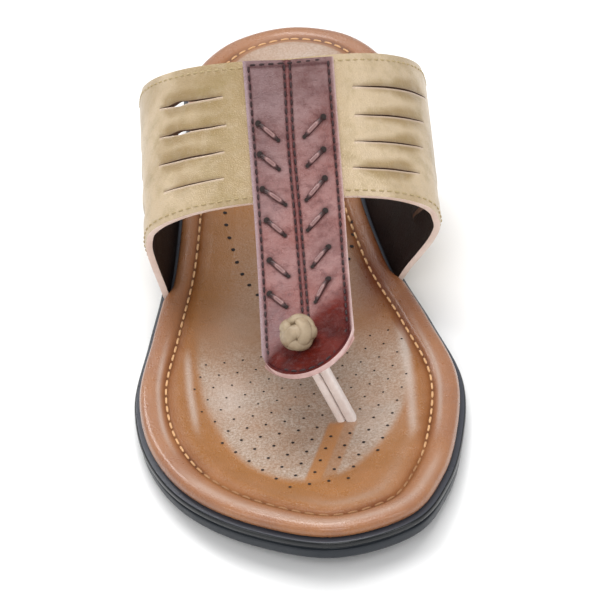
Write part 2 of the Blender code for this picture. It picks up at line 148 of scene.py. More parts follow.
def outline(count):
    """The sole's closed plan: heel back, up the inner side to the toe, and down the outer side."""
    forward = column(OUTLINE, "forward") * LENGTH
    inner = np.c_[column(OUTLINE, "inner") * BALL_WIDTH, forward]
    outer = np.c_[-column(OUTLINE, "outer") * BALL_WIDTH, forward]
    tip = [TOE_TIP * BALL_WIDTH, LENGTH]
    loop = np.concatenate([[[HEEL_TIP * BALL_WIDTH, 0]], inner, [tip], outer[::-1]])
    padded = np.concatenate([loop[-2:], loop, loop[:3]])
    run = lengths(padded)
    heel, toe, end = run[2], run[3 + len(inner)], run[2 + len(loop)]
    half = np.linspace(0, 1, count // 2 + 1)
    inner_side = along(smooth(np.linspace(heel, toe, 1200), run, padded), half)
    outer_side = along(smooth(np.linspace(toe, end, 1200), run, padded), half)
    return np.concatenate([inner_side[:-1], outer_side[:-1]])


def unit(vectors):
    """Vectors made one long."""
    return vectors / np.linalg.norm(vectors, axis=-1, keepdims=True)


def inset(ring, distance):
    """The closed plan moved in, square to itself, by a distance or by one distance for each point."""
    tangent = np.roll(ring, -1, axis=0) - np.roll(ring, 1, axis=0)
    normal = unit(np.c_[-tangent[:, 1], tangent[:, 0]])
    return ring + normal * np.broadcast_to(distance, len(ring))[:, None]


PLAN = outline(AROUND)
CENTRE_X = (PLAN[:, 0].max() + PLAN[:, 0].min()) / 2


def edge_x(s, side, distance):
    """x of the outline, moved in by a distance, at s; side is +1 for inner and -1 for outer."""
    ring = inset(PLAN, distance)
    half = len(ring) // 2
    line = ring[: half + 1] if side > 0 else np.concatenate([ring[half:], ring[:1]])[::-1]
    return np.interp(s, line[:, 1], line[:, 0])


def sole_bottom(s):
    """Underside: flat at heel and ball, a squared sine over the waist, a parabola up to the toe."""
    share = np.asarray(s) / LENGTH
    arch = np.clip((share - WAIST_FROM) / WAIST_RUNS, 0, 1)
    spring = np.clip((share - SPRING_FROM) / (1 - SPRING_FROM), 0, None)
    return WAIST_LIFT * np.sin(np.pi * arch) ** 2 + TOE_SPRING * spring**2


def sole_thickness(s):
    """Thickness of the rubber, which thins over the waist."""
    share = np.asarray(s) / LENGTH
    return RUBBER_AT_HEEL - RUBBER_THINS_BY * ease((share - WAIST_FROM) / WAIST_RUNS)


def sole_top(s):
    """Height of the rubber's upper face."""
    return sole_bottom(s) + sole_thickness(s)


def place(x, s, z):
    """Plan x, s and height z as points of the row frame."""
    x, s, z = np.broadcast_arrays(x, s, z)
    return np.stack([x - CENTRE_X, LENGTH / 2 - s, z], axis=-1)


def grid_quads(rows, columns, closed=False):
    """Corner numbers of a grid's quads; closed joins its last column to its first."""
    r = np.arange(rows - 1)[:, None]
    c = np.arange(columns if closed else columns - 1)[None, :]
    d = (c + 1) % columns
    corners = (r * columns + c, r * columns + d, (r + 1) * columns + d, (r + 1) * columns + c)
    return np.stack(corners, axis=-1).reshape(-1, 4)


def add_piece(name, points, quads, materials, nodes=(), groups=None, paint=None, merge=True, turn=True):
    """A piece of the sandal from numpy points and quads, riding on the one body of the part. groups says
    which material each quad takes, and paint holds values of the points, by name, for the materials."""
    mesh = bpy.data.meshes.new(name)
    mesh.from_pydata(np.asarray(points).reshape(-1, 3).tolist(), [], np.asarray(quads).tolist())
    for material in materials:
        mesh.materials.append(material)
    if groups is not None:
        mesh.polygons.foreach_set("material_index", np.asarray(groups, dtype=np.int32))
    item = bpy.data.objects.new(name, mesh)
    bpy.context.scene.collection.objects.link(item)
    work = bmesh.new()
    work.from_mesh(mesh)
    if merge:
        bmesh.ops.remove_doubles(work, verts=work.verts, dist=1e-6)
    if turn:
        bmesh.ops.recalc_face_normals(work, faces=work.faces)
    work.to_mesh(mesh)
    work.free()
    mesh.shade_smooth()
    for key, values in (paint or {}).items():
        mesh.attributes.new(key, "FLOAT", "POINT").data.foreach_set("value", np.ravel(values))
    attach(item, "root")
    if nodes:
        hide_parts(*nodes)
    return item


def slab(plans, heights, bottom, top):
    """Points and quads of a closed slab: rings of plan points and heights from its underside to its top,
    then a grid across each face from every inner side point to the outer side point beside it."""
    rings = [place(p[:, 0], p[:, 1], z) for p, z in zip(plans, heights)]
    points = [np.concatenate(rings)]
    quads = [grid_quads(len(rings), AROUND, True)]
    start = len(points[0])
    half = AROUND // 2
    share = np.linspace(0, 1, ACROSS + 1)[None, :, None]
    for plan, height in ((plans[0], bottom), (plans[-1], top)):
        near, far = plan[: half + 1], plan[(AROUND - np.arange(half + 1)) % AROUND]
        cross = near[:, None] + (far - near)[:, None] * share
        points.append(place(cross[..., 0], cross[..., 1], height(cross)).reshape(-1, 3))
        quads.append(grid_quads(half + 1, ACROSS + 1) + start)
        start += len(points[-1])
    return np.concatenate(points), np.concatenate(quads)


def tread(cross):
    """Underside with its cross grooves: a smooth trough at each pitch, ending short of the edge."""
    s = cross[..., 1]
    depth = np.zeros_like(s)
    share = np.linspace(0, 1, ACROSS + 1)[None, :]
    for start, end in TREAD_ZONES:
        pitches = (s - start * LENGTH) / TREAD_PITCH
        last = int((end - start) * LENGTH / TREAD_PITCH)
        off = np.abs(pitches - np.clip(np.round(pitches), 0, last)) * TREAD_PITCH
        depth += TREAD_DEPTH * ease((1.7 * MM - off) / (0.8 * MM))
    return sole_bottom(s) + depth * ease(np.minimum(share, 1 - share) * ACROSS / 3)


def feed(tree, node, inputs):
    """Links the sockets among these inputs to a node and sets the others. A colour is three numbers."""
    for key, value in inputs.items():
        socket = node.inputs[key]
        if isinstance(value, bpy.types.NodeSocket):
            tree.links.new(value, socket)
        else:
            socket.default_value = (*value, 1) if socket.type == "RGBA" else value


def add_node(tree, kind, inputs, **settings):
    """A new node with its settings and inputs."""
    node = tree.nodes.new(kind)
    for key, value in settings.items():
        setattr(node, key, value)
    feed(tree, node, inputs)
    return node


class Look:
    """A Principled material in the making. Each method adds nodes and returns what they give."""

    def __init__(self, name):
        self.material = bpy.data.materials.new(name)
        self.material.use_nodes = True
        self.tree = self.material.node_tree
        self.where = self.add("ShaderNodeTexCoord", {}).outputs["Object"]

    def add(self, kind, inputs, **settings):
        """One node of the material."""
        return add_node(self.tree, kind, inputs, **settings)

    def noise(self, scale, detail=3.0, roughness=0.55, where=None):
        """Noise value at this scale, by Object coordinates or by a vector made from them."""
        vector = self.where if where is None else where
        values = {"Vector": vector, "Scale": scale, "Detail": detail, "Roughness": roughness}
        return self.add("ShaderNodeTexNoise", values).outputs["Fac"]

    def remap(self, value, low, high, to_low, to_high):
        """A value stretched from one range to another, held at its ends."""
        values = {"Value": value, "From Min": low, "From Max": high, "To Min": to_low, "To Max": to_high}
        return self.add("ShaderNodeMapRange", values).outputs["Result"]

    def patches(self, scale, detail, low, high, to_low, to_high, roughness=0.55):
        """Noise stretched from one range to another, held at its ends."""
        return self.remap(self.noise(scale, detail, roughness), low, high, to_low, to_high)

    def blend(self, base, colour, amount):
        """A base turned towards a colour by an amount; each colour is a socket or three numbers."""
        return self.add("ShaderNodeMix", {0: amount, 6: base, 7: colour}, data_type="RGBA").outputs[2]

    def bump(self, height, depth, normal=None):
        """Bump of this depth in metres, over a normal if one is given."""
        links = {} if normal is None else {"Normal": normal}
        return self.add("ShaderNodeBump", {"Height": height, "Distance": depth, **links}).outputs["Normal"]

    def finish(self, inputs):
        """The material, once its shader has these inputs."""
        feed(self.tree, self.tree.nodes["Principled BSDF"], inputs)
        return self.material


def rubber(name, colour, gloss, speck):
    """Black rubber: dusty patches, fine mould texture and a roughness that wanders."""
    look = Look(name)
    return look.finish({
        "Base Color": look.blend(colour, (0.030, 0.034, 0.040), look.patches(60, 5, 0.40, 0.75, 0, 0.3)),
        "Roughness": look.patches(260, 4, 0.3, 0.7, gloss, gloss + 0.12),
        "Specular IOR Level": 0.38,
        "Normal": look.bump(look.noise(2600, 2), speck),
    })


side_steps = np.linspace(0, 1, 44)
side_rows = np.linspace(0, 1, len(SOLE_SIDE))
side_rise = smooth(side_steps, side_rows, column(SOLE_SIDE, "rise"))
side_in = smooth(side_steps, side_rows, column(SOLE_SIDE, "set_in")) * MM
sole_plans = [inset(PLAN, d) for d in np.r_[8 * MM, side_in, 8 * MM]]
sole_rise = np.r_[0, side_rise, 1]
sole_heights = [sole_bottom(p[:, 1]) + r * sole_thickness(p[:, 1]) for p, r in zip(sole_plans, sole_rise)]
points, quads = slab(sole_plans, sole_heights, tread, lambda cross: sole_top(cross[..., 1]))
matt_rubber = rubber("sole_wall_rubber", (0.009, 0.013, 0.019), 0.34, 0.00005)
lip_rubber = rubber("sole_lip_rubber", (0.004, 0.005, 0.006), 0.18, 0.00001)
# The topmost rows of the side are a lighter grey rubber: a painted highlight along the top edge of the lip.
lip_highlight_rubber = rubber("sole_lip_highlight", (0.050, 0.053, 0.066), 0.26, 0.00004)
row = np.arange(len(quads)) // AROUND
on_side = row < len(sole_plans) - 1
rubbers = [matt_rubber, lip_rubber, lip_highlight_rubber]
add_piece("sole_unit", points, quads, rubbers, ["outsole"],
          on_side * (1 * (row >= LIP_ROW) + (row >= EDGE_ROW)))

# Footbed. Board and foam wrapped in one skin of waxed tan leather, lasted round a soft cord at the rim
# and stitched down in a groove inside it. The middle is cupped and punched with pin holes.
GAP = 0.3 * MM
RIM = table(
    "inset height",
    (2.3, 0.0),
    (1.7, 0.6),
    (1.6, 1.7),
    (2.2, 2.9),
    (3.5, 3.6),
    (5.2, 3.8),
    (7.2, 3.4),
    (8.8, 2.6),
    (10.2, 3.0),
    (12.6, 3.2),
    (15.5, 2.8),
    (19.0, 2.3),
)
BAND_FOOT_REAR = 0.252 * LENGTH
BAND_FOOT_FRONT = 0.542 * LENGTH
SQUEEZE_DEPTH = 1.9 * MM
GROWING = slice(20, None)
SEAM_INSET = 8.8 * MM
SEAM_HEIGHT = 2.6 * MM
BED_STITCH = {"pitch": 3.7 * MM, "length": 3.1 * MM, "radius": 0.33 * MM}
STITCH_GRID = (7, 8)


def squeeze(s):
    """How far the band's feet push the rim in, easing off in front of and behind them."""
    behind, before = s - BAND_FOOT_REAR + 4 * MM, BAND_FOOT_FRONT + 4 * MM - s
    return SQUEEZE_DEPTH * ease(behind / (7 * MM)) * ease(before / (7 * MM))


DENTS = table(
    "part x forward half_width half_length weight",
    ("heel", 2, 32, 16, 24, 0.8),
    ("ball inner", 12, 180, 17, 22, 0.7),
    ("ball outer", -16, 176, 18, 24, 0.6),
    ("big toe", 14, 218, 9, 12, 0.5),
)


def bell(value, middle, width):
    """Gaussian of a value: 1 at the middle and 1/e one width away from it."""
    return np.exp(-(((value - middle) / width) ** 2))


def spots(rows, x, s):
    """A Gaussian spot for each row of a table, as high as its weight."""
    across = [bell(x / MM, row["x"], row["half_width"]) for row in rows]
    forward = [bell(s / MM, row["forward"], row["half_length"]) for row in rows]
    return [row["weight"] * a * f for row, a, f in zip(rows, across, forward)]


def bed_relief(x, s):
    """How the foot has shaped the footbed: low waves of sines, and a dent for each row of DENTS."""
    waves = 0.10 * np.sin(s / (7 * MM) + 1.3 * np.sin(x / (11 * MM))) * np.cos(x / (14 * MM) + s / (31 * MM))
    return (waves - sum(spots(DENTS, x, s))) * MM


def from_outline(x, s):
    """Distance of plan points from the outline, as the least distance from any of its own points."""
    least = np.full(np.shape(x), np.inf)
    for outline_x, outline_s in PLAN:
        least = np.minimum(least, np.hypot(x - outline_x, s - outline_s))
    return least


def footbed_field(cross):
    """Middle of the footbed: the rim's height, by the steps whose inset grows, plus what the foot has
    done inside the rim."""
    x, s = cross[..., 0], cross[..., 1]
    distance = from_outline(x, s)
    ring = np.interp(distance, rim_inset[GROWING], rim_up[GROWING])
    return sole_top(s) + GAP + ring + ease((distance - RIM[-1]["inset"] * MM) / (6 * MM)) * bed_relief(x, s)


def trodden_and_lit(x, s):
    """0 to 1 where the foot rubs: an oval under ball and toes, cut off behind, and one under the heel. The
    faint one over the waist is painted light, lifting the shade that the band and strap cast there."""
    x, s = x / MM, s / MM
    half = 24.5 + 0.10 * np.clip(200 - s, 0, 30)
    half = half + 2.0 * (x > -2) * ease((216 - s) / 20)
    fore = ((x + 2) / half) ** 2 + (np.clip(s - 180, 0, None) / 43) ** 2
    fore = ease((1.12 - fore) / 0.20) * ease((s - 150) / 24)
    heel = ((x - 1) / 21) ** 2 + ((s - 36) / 27) ** 2
    # Painted light over the waist, where the band and strap shade the footbed.
    waist = 0.55 * np.exp(-(((x + 3) / 19) ** 4) - ((s - 140) / 30) ** 2)
    return np.maximum(np.maximum(fore, waist), 0.85 * ease((1.25 - heel) / 0.5))


# Painted highlights and reflections on the footbed's wax: long streaks by the cupped field's edges, then
# spots of glare.
HIGHLIGHT_STREAKS = table(
    "forward x half_width",
    ((160, 166, 181, 197, 204), (-32.4, -32.4, -32.0, -30.5, -29.6), 0.95),
    ((156, 167, 183, 205, 214), (24.9, 26.0, 26.7, 25.9, 24.0), 1.25),
)
HIGHLIGHT_SPOTS = table(
    "x forward half_width half_length weight",
    (-21.5, 184, 5, 9, 0.65),
    (2, 18, 16, 9, 0.45),
    (17, 198, 6, 10, 0.35),
    (-19, 155, 9, 10, 0.30),
)
# Darker spots beside the band's feet: partly burnish, and partly painted shade where the band shades the
# footbed.
BURNT_AND_SHADED = table(
    "x forward half_width half_length weight",
    (20, 133, 8, 22, 1.0),
    (27, 153, 5, 14, 0.55),
    (31, 146, 5, 12, 0.55),
)


def painted_highlights(x, s):
    """0 to 1 for painted highlights and reflections on the wax: the listed spots of glare, a Gaussian
    line along the rim's inner slope and over its crest at the toe, a patch at the front, and the streaks."""
    spot = np.max(spots(HIGHLIGHT_SPOTS, x, s), axis=0)
    distance = from_outline(x, s) / MM
    x, s = x / MM, s / MM
    slope = 0.62 * bell(distance, 6.5 + 0.3 * np.sin(s / 9), 0.65)
    slope = slope * ease((s - 150) / 25) * ease((215 - s) / 18)
    crest = 0.42 * bell(distance, 4.3, 1.2) * ease((s - 212) / 14)
    front = 0.30 * bell(distance, 13.6, 2.0) * bell(x, 10, 13) * (s > 200)
    shine = np.max([spot, slope, crest, front], axis=0)
    for row in HIGHLIGHT_STREAKS:
        stations = row["forward"]
        across = bell(x, np.interp(s, stations, row["x"]), row["half_width"])
        shine = np.maximum(shine, 0.8 * across * ease((s - stations[0]) / 12) * ease((stations[-1] - s) / 14))
    return shine


def calc(tree, operation, *values):
    """What a Math node makes of values and sockets."""
    return add_node(tree, "ShaderNodeMath", dict(enumerate(values)), operation=operation).outputs[0]


def grain_group():
    """Leather grain: rounded pebbles from Voronoi distance, broken by noise, with pores between them."""
    group = bpy.data.node_groups.new("leather grain", "ShaderNodeTree")
    for name, kind in (("Vector", "NodeSocketVector"), ("Cells per metre", "NodeSocketFloat")):
        group.interface.new_socket(name, in_out="INPUT", socket_type=kind)
    for name in ("Height", "Pores"):
        group.interface.new_socket(name, in_out="OUTPUT", socket_type="NodeSocketFloat")
    ends = group.nodes.new("NodeGroupInput")
    out = group.nodes.new("NodeGroupOutput")
    where, scale = ends.outputs["Vector"], ends.outputs["Cells per metre"]
    wander = add_node(group, "ShaderNodeTexNoise", {"Vector": where, "Scale": scale, "Detail": 2.0})
    shift = {0: wander.outputs["Color"], "Scale": 0.0006}
    shift = add_node(group, "ShaderNodeVectorMath", shift, operation="SCALE").outputs[0]
    moved = add_node(group, "ShaderNodeVectorMath", {0: where, 1: shift}, operation="ADD").outputs[0]
    cells = {"Vector": moved, "Scale": scale}
    away = add_node(group, "ShaderNodeTexVoronoi", cells, feature="DISTANCE_TO_EDGE").outputs["Distance"]
    edge = add_node(group, "ShaderNodeMapRange", {"Value": away, "From Max": 0.28}).outputs[0]
    fine = {"Vector": where, "Scale": calc(group, "MULTIPLY", scale, 3.1), "Detail": 3.0}
    fine = add_node(group, "ShaderNodeTexNoise", fine).outputs["Fac"]
    height = calc(group, "ADD", calc(group, "POWER", edge, 0.6), calc(group, "MULTIPLY", fine, 0.35))
    pores = add_node(group, "ShaderNodeMapRange", {"Value": away, "From Max": 0.1, "To Min": 1, "To Max": 0})
    feed(group, out, {"Height": height, "Pores": pores.outputs[0]})
    return group


GRAIN = grain_group()


def grain(look, cells):
    """Height and Pores of the leather grain, with this many cells to the metre."""
    values = {"Vector": look.where, "Cells per metre": cells}
    node = look.add("ShaderNodeGroup", {}, node_tree=GRAIN)
    feed(look.tree, node, values)
    return node.outputs


def times(look, first, second):
    """Product of two values."""
    return calc(look.tree, "MULTIPLY", first, second)


def plus(look, first, second):
    """Sum of two values."""
    return calc(look.tree, "ADD", first, second)


def share(look, value, amount):
    """A value from 0 to 1 as a share of this amount."""
    return look.remap(value, 0, 1, 0, amount)


def painted(look, name):
    """Values that add_piece painted on the points under this name."""
    return look.add("ShaderNodeAttribute", {}, attribute_name=name).outputs["Fac"]


def axis_of(look, name):
    """One axis of the Object coordinates."""
    return look.add("ShaderNodeSeparateXYZ", {"Vector": look.where}).outputs[name]


def towards(look, direction):
    """Object coordinates measured along a direction."""
    node = look.add("ShaderNodeVectorMath", {0: look.where, 1: direction}, operation="DOT_PRODUCT")
    return node.outputs["Value"]


def ramp(look, value, stops):
    """A colour ramp through (place, colour) stops."""
    node = look.add("ShaderNodeValToRGB", {"Fac": value})
    marks = node.color_ramp.elements
    while len(marks) < len(stops):
        marks.new(0.5)
    for mark, (at, colour) in zip(marks, stops):
        mark.position = at
        mark.color = (*colour, 1)
    return node.outputs["Color"]


def between(look, value, low, high, soft):
    """1 while a value lies between two limits, with soft edges of this width."""
    up = look.remap(value, low - soft / 2, low + soft / 2, 0, 1)
    return times(look, up, look.remap(value, high - soft / 2, high + soft / 2, 1, 0))


def layered(look, base, layers):
    """A base under layers, each a colour and its amount."""
    for colour, amount in layers:
        base = look.blend(base, colour, amount)
    return base


def footbed_leather():
    """Waxed tan leather: near black in the seam's groove, greyed and crinkled where the foot rubs it,
    with two strips in front of the post that the foot never reached. Pale painted highlights and
    reflections lie over it, light is painted over the waist, and spots by the band's feet are darkened
    partly by burnish and partly as painted shade."""
    look = Look("footbed_waxed_leather")
    inward = painted(look, "inward")
    stops = (
        (0.00, (0.150, 0.050, 0.018)),
        (0.13, (0.275, 0.108, 0.046)),
        (0.28, (0.312, 0.138, 0.068)),
        (0.40, (0.275, 0.098, 0.030)),
        (0.46, (0.070, 0.017, 0.004)),
        (0.52, (0.215, 0.070, 0.011)),
        (0.64, (0.275, 0.100, 0.013)),
        (1.00, (0.295, 0.110, 0.014)),
    )
    near_seam = between(look, inward, 0.40, 0.54, 0.08)
    stain = times(look, near_seam, look.patches(24, 4, 0.46, 0.60, 0, 0.6, 0.6))
    # Burnish and painted shade by the band's feet, broken by noise.
    burnish_and_shade = times(look, painted(look, "burnt_and_shaded"), look.patches(60, 4, 0.35, 0.6, 0.55, 1, 0.6))
    aslant = towards(look, (0.960, -0.279, 0.0))
    forward = axis_of(look, "Y")
    ahead = between(look, forward, -0.099, -0.0735, 0.002)
    strips = times(look, between(look, aslant, 0.0276, 0.0348, 0.0009), ahead)
    first_strip = times(look, between(look, aslant, 0.0276, 0.0316, 0.0008), ahead)
    speckle = look.patches(1500, 4, 0.40, 0.60, 0, 1, 0.75)
    worn = look.blend((0.305, 0.205, 0.140), (0.490, 0.395, 0.325), speckle)
    grey = times(look, painted(look, "trodden_and_lit"), look.remap(strips, 0, 1, 1, 0.38))
    grey = times(look, grey, look.patches(70, 4, 0.3, 0.6, 0.55, 0.95))
    base = layered(look, ramp(look, inward, stops), (
        ((0.360, 0.150, 0.052), look.patches(55, 5, 0.38, 0.64, 0, 0.55, 0.6)),
        ((0.130, 0.034, 0.008), stain),
        ((0.125, 0.026, 0.004), burnish_and_shade),
        # Worn grey where the foot rubs, and painted light over the waist.
        (worn, grey),
        ((0.390, 0.158, 0.038), share(look, first_strip, 0.85)),
        # Pale painted highlights and reflections over everything below them.
        ((0.600, 0.530, 0.480), share(look, painted(look, "painted_highlights"), 0.6)),
    ))
    rough = plus(look, look.remap(grey, 0, 1, 0.24, 0.42), look.patches(300, 4, 0.3, 0.7, 0.0, 0.12))
    by_band = share(look, between(look, forward, -0.032, 0.036, 0.02), 0.75)
    matt = calc(look.tree, "MAXIMUM", calc(look.tree, "MAXIMUM", near_seam, burnish_and_shade), by_band)
    soft = look.bump(look.noise(110, 3), 0.0006)
    soft = look.bump(times(look, speckle, grey), 0.00006, soft)
    return look.finish({
        "Base Color": base,
        "Roughness": plus(look, rough, share(look, near_seam, 0.16)),
        "Specular IOR Level": look.remap(matt, 0, 1, 0.5, 0.20),
        "Coat Weight": times(look, look.remap(grey, 0, 1, 0.45, 0.08), look.remap(matt, 0, 1, 1.0, 0.08)),
        "Coat Roughness": 0.14,
        "Normal": look.bump(grain(look, 1500)["Height"], 0.00005, soft),
    })


rim_steps = np.linspace(0, 1, 60)
rim_rows = np.linspace(0, 1, len(RIM))
rim_inset = smooth(rim_steps, rim_rows, column(RIM, "inset")) * MM
rim_up = smooth(rim_steps, rim_rows, column(RIM, "height")) * MM
fade = np.clip(1 - (rim_inset - 1.6 * MM) / (7 * MM), 0, 1)
reach = [d + f * squeeze(PLAN[:, 1]) for d, f in zip(rim_inset, fade)]
bed_plans = [inset(PLAN, d) for d in (9 * MM, *reach)]
bed_heights = [sole_top(p[:, 1]) + GAP + up for p, up in zip(bed_plans, np.r_[0, rim_up])]
points, quads = slab(bed_plans, bed_heights, lambda cross: sole_top(cross[..., 1]) + GAP, footbed_field)
inward = np.ones(len(points))
inward[: AROUND * len(bed_plans)] = np.repeat(np.r_[0, rim_inset / rim_inset[-1]], AROUND)
bed_x, bed_s = points[:, 0] + CENTRE_X, LENGTH / 2 - points[:, 1]
# Values painted on the footbed's points: wear, and the masks of painted highlights, painted light and painted
# shade.
wear_and_painted_light = {
    "inward": inward,
    "trodden_and_lit": trodden_and_lit(bed_x, bed_s) * (inward > 0.6),
    "painted_highlights": painted_highlights(bed_x, bed_s),
    "burnt_and_shaded": np.max(spots(BURNT_AND_SHADED, bed_x, bed_s), axis=0),
}
add_piece("footbed_leather", points, quads, [footbed_leather()], ["footbed"], paint=wear_and_painted_light,
          merge=False)


def circle(count):
    """Angles of this many points round a circle."""
    return np.linspace(0, 2 * np.pi, count, endpoint=False)


def tubes(count, rows, columns):
    """Quads of this many tubes, each a grid of rows and columns that closes round."""
    first = rows * columns * np.arange(count)[:, None, None]
    return (grid_quads(rows, columns, True)[None] + first).reshape(-1, 4)


def sew(name, line, normals, stitch, material, lift=0.3, end=None):
    """Thread stitches along a line: each a capsule whose middle stands up and whose ends dip in. lift is
    how far its middle stands clear, as a share of the thread's radius."""
    run = lengths(line)
    pitch, length, radius = stitch["pitch"], stitch["length"], stitch["radius"]
    centres = np.arange(0.5 * pitch, (end or run[-1]) - 0.3 * pitch, pitch)
    at = on_line(line, run, centres)
    tangent = unit(on_line(line, run, centres + length / 2) - on_line(line, run, centres - length / 2))
    side = unit(np.cross(tangent, on_line(normals, run, centres)))
    up = np.cross(side, tangent)
    rings, sides = STITCH_GRID
    u = np.linspace(-1, 1, rings)[:, None]
    thick = radius * np.sqrt(np.clip(1 - u**4, 0.0, 1))
    rise = lift * radius + thick * np.sin(circle(sides)) - 0.5 * radius * u**2
    wide = thick * np.cos(circle(sides))
    at, tangent, side, up = (v[:, None, None] for v in (at, tangent, side, up))
    body = at + tangent * (u * length / 2)[..., None] + up * rise[..., None] + side * wide[..., None]
    return add_piece(name, body, tubes(len(body), rings, sides), [material])


def thread(name, colour, roughness=0.55, toe_shade=None):
    """Waxed sewing thread, its plies picked out by a fine slanting wave. A colour given for the toe takes
    over there as painted shade, darkening the footbed's stitches round the toe."""
    look = Look(name)
    wave = {"Vector": look.where, "Scale": 900.0, "Distortion": 2.0}
    ply = look.add("ShaderNodeTexWave", wave).outputs["Fac"]
    base = look.blend([0.5 * c for c in colour], colour, look.remap(ply, 0, 1, 0.55, 1.0))
    if toe_shade:
        # Painted shade on the stitches round the toe.
        base = look.blend(base, toe_shade, look.remap(axis_of(look, "Y"), -0.098, -0.082, 0.75, 0))
    return look.finish({"Base Color": base, "Roughness": roughness, "Normal": look.bump(ply, 0.00008)})


seam = inset(PLAN, SEAM_INSET)
seam = np.concatenate([seam, seam[:1]])
seam_line = place(seam[:, 0], seam[:, 1], sole_top(seam[:, 1]) + GAP + SEAM_HEIGHT)
upward = np.tile([0.0, 0.0, 1.0], (len(seam_line), 1))
bed_thread = thread("footbed_thread", (0.80, 0.47, 0.23), toe_shade=(0.200, 0.070, 0.018))
sew("footbed_stitches", seam_line, upward, BED_STITCH, bed_thread)

# Instep band. One wide arch of pebbled, foil-faced beige leather backed with dark brown lining, its cut
# edges painted. It is slit in two groups on each side, sewn along both edges and lasted in at its feet.
BAND_WALL = 1.8 * MM
BAND_SET_IN = 1.1 * MM
BAND_TOP_REAR = 0.484 * LENGTH
BAND_TOP_FRONT = 0.620 * LENGTH
BAND_INNER_REACH = 0.436 * BALL_WIDTH
BAND_OUTER_REACH = 0.470 * BALL_WIDTH
BAND_SWEEP = 0.8
BAND_RIDGE_X = 0.8 * MM
CROWN_HEIGHT = 73 * MM
ARCH = table(
    "drop reach foot",
    (0.000, 0.00, 0.00),
    (0.018, 0.34, 0.00),
    (0.058, 0.56, 0.00),
    (0.110, 0.72, 0.00),
    (0.190, 0.87, 0.00),
    (0.280, 0.96, 0.00),
    (0.370, 0.99, 0.00),
    (0.470, 1.00, 0.00),
    (0.600, 0.84, 0.16),
    (0.740, 0.55, 0.45),
    (0.870, 0.25, 0.75),
    (1.000, 0.00, 1.00),
)
RIDGE = table(
    "forward height",
    (0.484, 1.000),
    (0.520, 0.904),
    (0.560, 0.815),
    (0.600, 0.733),
    (0.620, 0.692),
    (0.660, 0.619),
    (0.696, 0.566),
    (0.736, 0.521),
    (0.776, 0.488),
    (0.812, 0.474),
    (0.844, 0.471),
)
SLIT_ROWS = table(
    "at inner outer inner_open outer_open window",
    (0.22, (0.165, 0.480), (0.175, 0.389), 0.45, 0.40, 0.75),
    (0.42, (0.175, 0.445), (0.185, 0.420), 0.40, 0.40, 0.65),
    (0.61, (0.180, 0.440), (0.210, 0.450), 0.35, 0.40, 0.0),
    (0.80, (0.180, 0.430), (0.230, 0.455), 0.40, 0.25, 0.0),
)
SIDE_SLITS = (0.57, 0.79)
SIDE_OPEN = 0.8
BAND_COLUMNS = 200
UNDER_BAND = (0, 0.02, 0.03)
SWELL = 0.44 * MM
BAND_STITCH = {"pitch": 2.3 * MM, "length": 1.7 * MM, "radius": 0.27 * MM}
BAND_SEAMS = (("rear", 0.045), ("front", 0.962))


def ridge(s):
    """Height of the ridge line over the foot at s."""
    return smooth(s, column(RIDGE, "forward") * LENGTH, column(RIDGE, "height") * CROWN_HEIGHT)


def arch_curve(across, name):
    """One column of the arch at across, rounded over the ridge by the first row of the other side."""
    step = 1 / (len(ARCH) - 1)
    values = column(ARCH, name)
    values = np.r_[(-1 if name == "reach" else 1) * values[1], values]
    return smooth(across, step * np.arange(-1, len(ARCH)), values)


def arch_point(side, across, top_s, foot_s):
    """Points of the band's outer face. across runs from 0 at the ridge to 1 at the sole."""
    drop = np.clip(arch_curve(across, "drop"), 0, 1)
    reach, foot = arch_curve(across, "reach"), arch_curve(across, "foot")
    s = top_s - (top_s - foot_s) * drop**BAND_SWEEP
    foot_z = sole_top(foot_s) + GAP
    z = ridge(top_s) - (ridge(top_s) - foot_z) * drop
    widest = BAND_INNER_REACH if side > 0 else -BAND_OUTER_REACH
    x = BAND_RIDGE_X * (1 - reach - foot) + widest * reach + edge_x(foot_s, side, BAND_SET_IN) * foot
    return np.stack(np.broadcast_arrays(x, s, z), axis=-1)


def band_line(side, v, shares):
    """The band's outer face down one side at v, 0 at its rear edge and 1 at its front edge."""
    top_s = BAND_TOP_REAR + (BAND_TOP_FRONT - BAND_TOP_REAR) * v
    foot_s = BAND_FOOT_REAR + (BAND_FOOT_FRONT - BAND_FOOT_REAR) * v
    dense = arch_point(side, np.linspace(0, 1, 300), np.full(300, top_s), np.full(300, foot_s))
    return along(dense, shares)


def slit_opening(shares, row, side):
    """How far a slit's edges stand from its middle, in millimetres, at these shares of the way down: a
    blunt half sine in each group, with a gaping window in two of the outer slits as a Gaussian."""
    name = "inner" if side > 0 else "outer"
    wide = np.zeros_like(shares)
    for (low, high), full in ((row[name], row[name + "_open"]), (SIDE_SLITS, SIDE_OPEN)):
        inside = np.clip((shares - low) / (high - low), 0, 1)
        wide = np.maximum(wide, full / 2 * np.sin(np.pi * inside) ** 0.6)
    if side < 0:
        low, high = row[name]
        wide = wide + row["window"] / 2 * bell((shares - low) / (high - low), 0.66, 0.12)
        wide = wide * (shares > low)
    return np.where(wide > 0.001, wide, 0)


def normals_of(points):
    """Unit normals of a grid of points."""
    return unit(np.cross(np.gradient(points, axis=1), np.gradient(points, axis=0)))


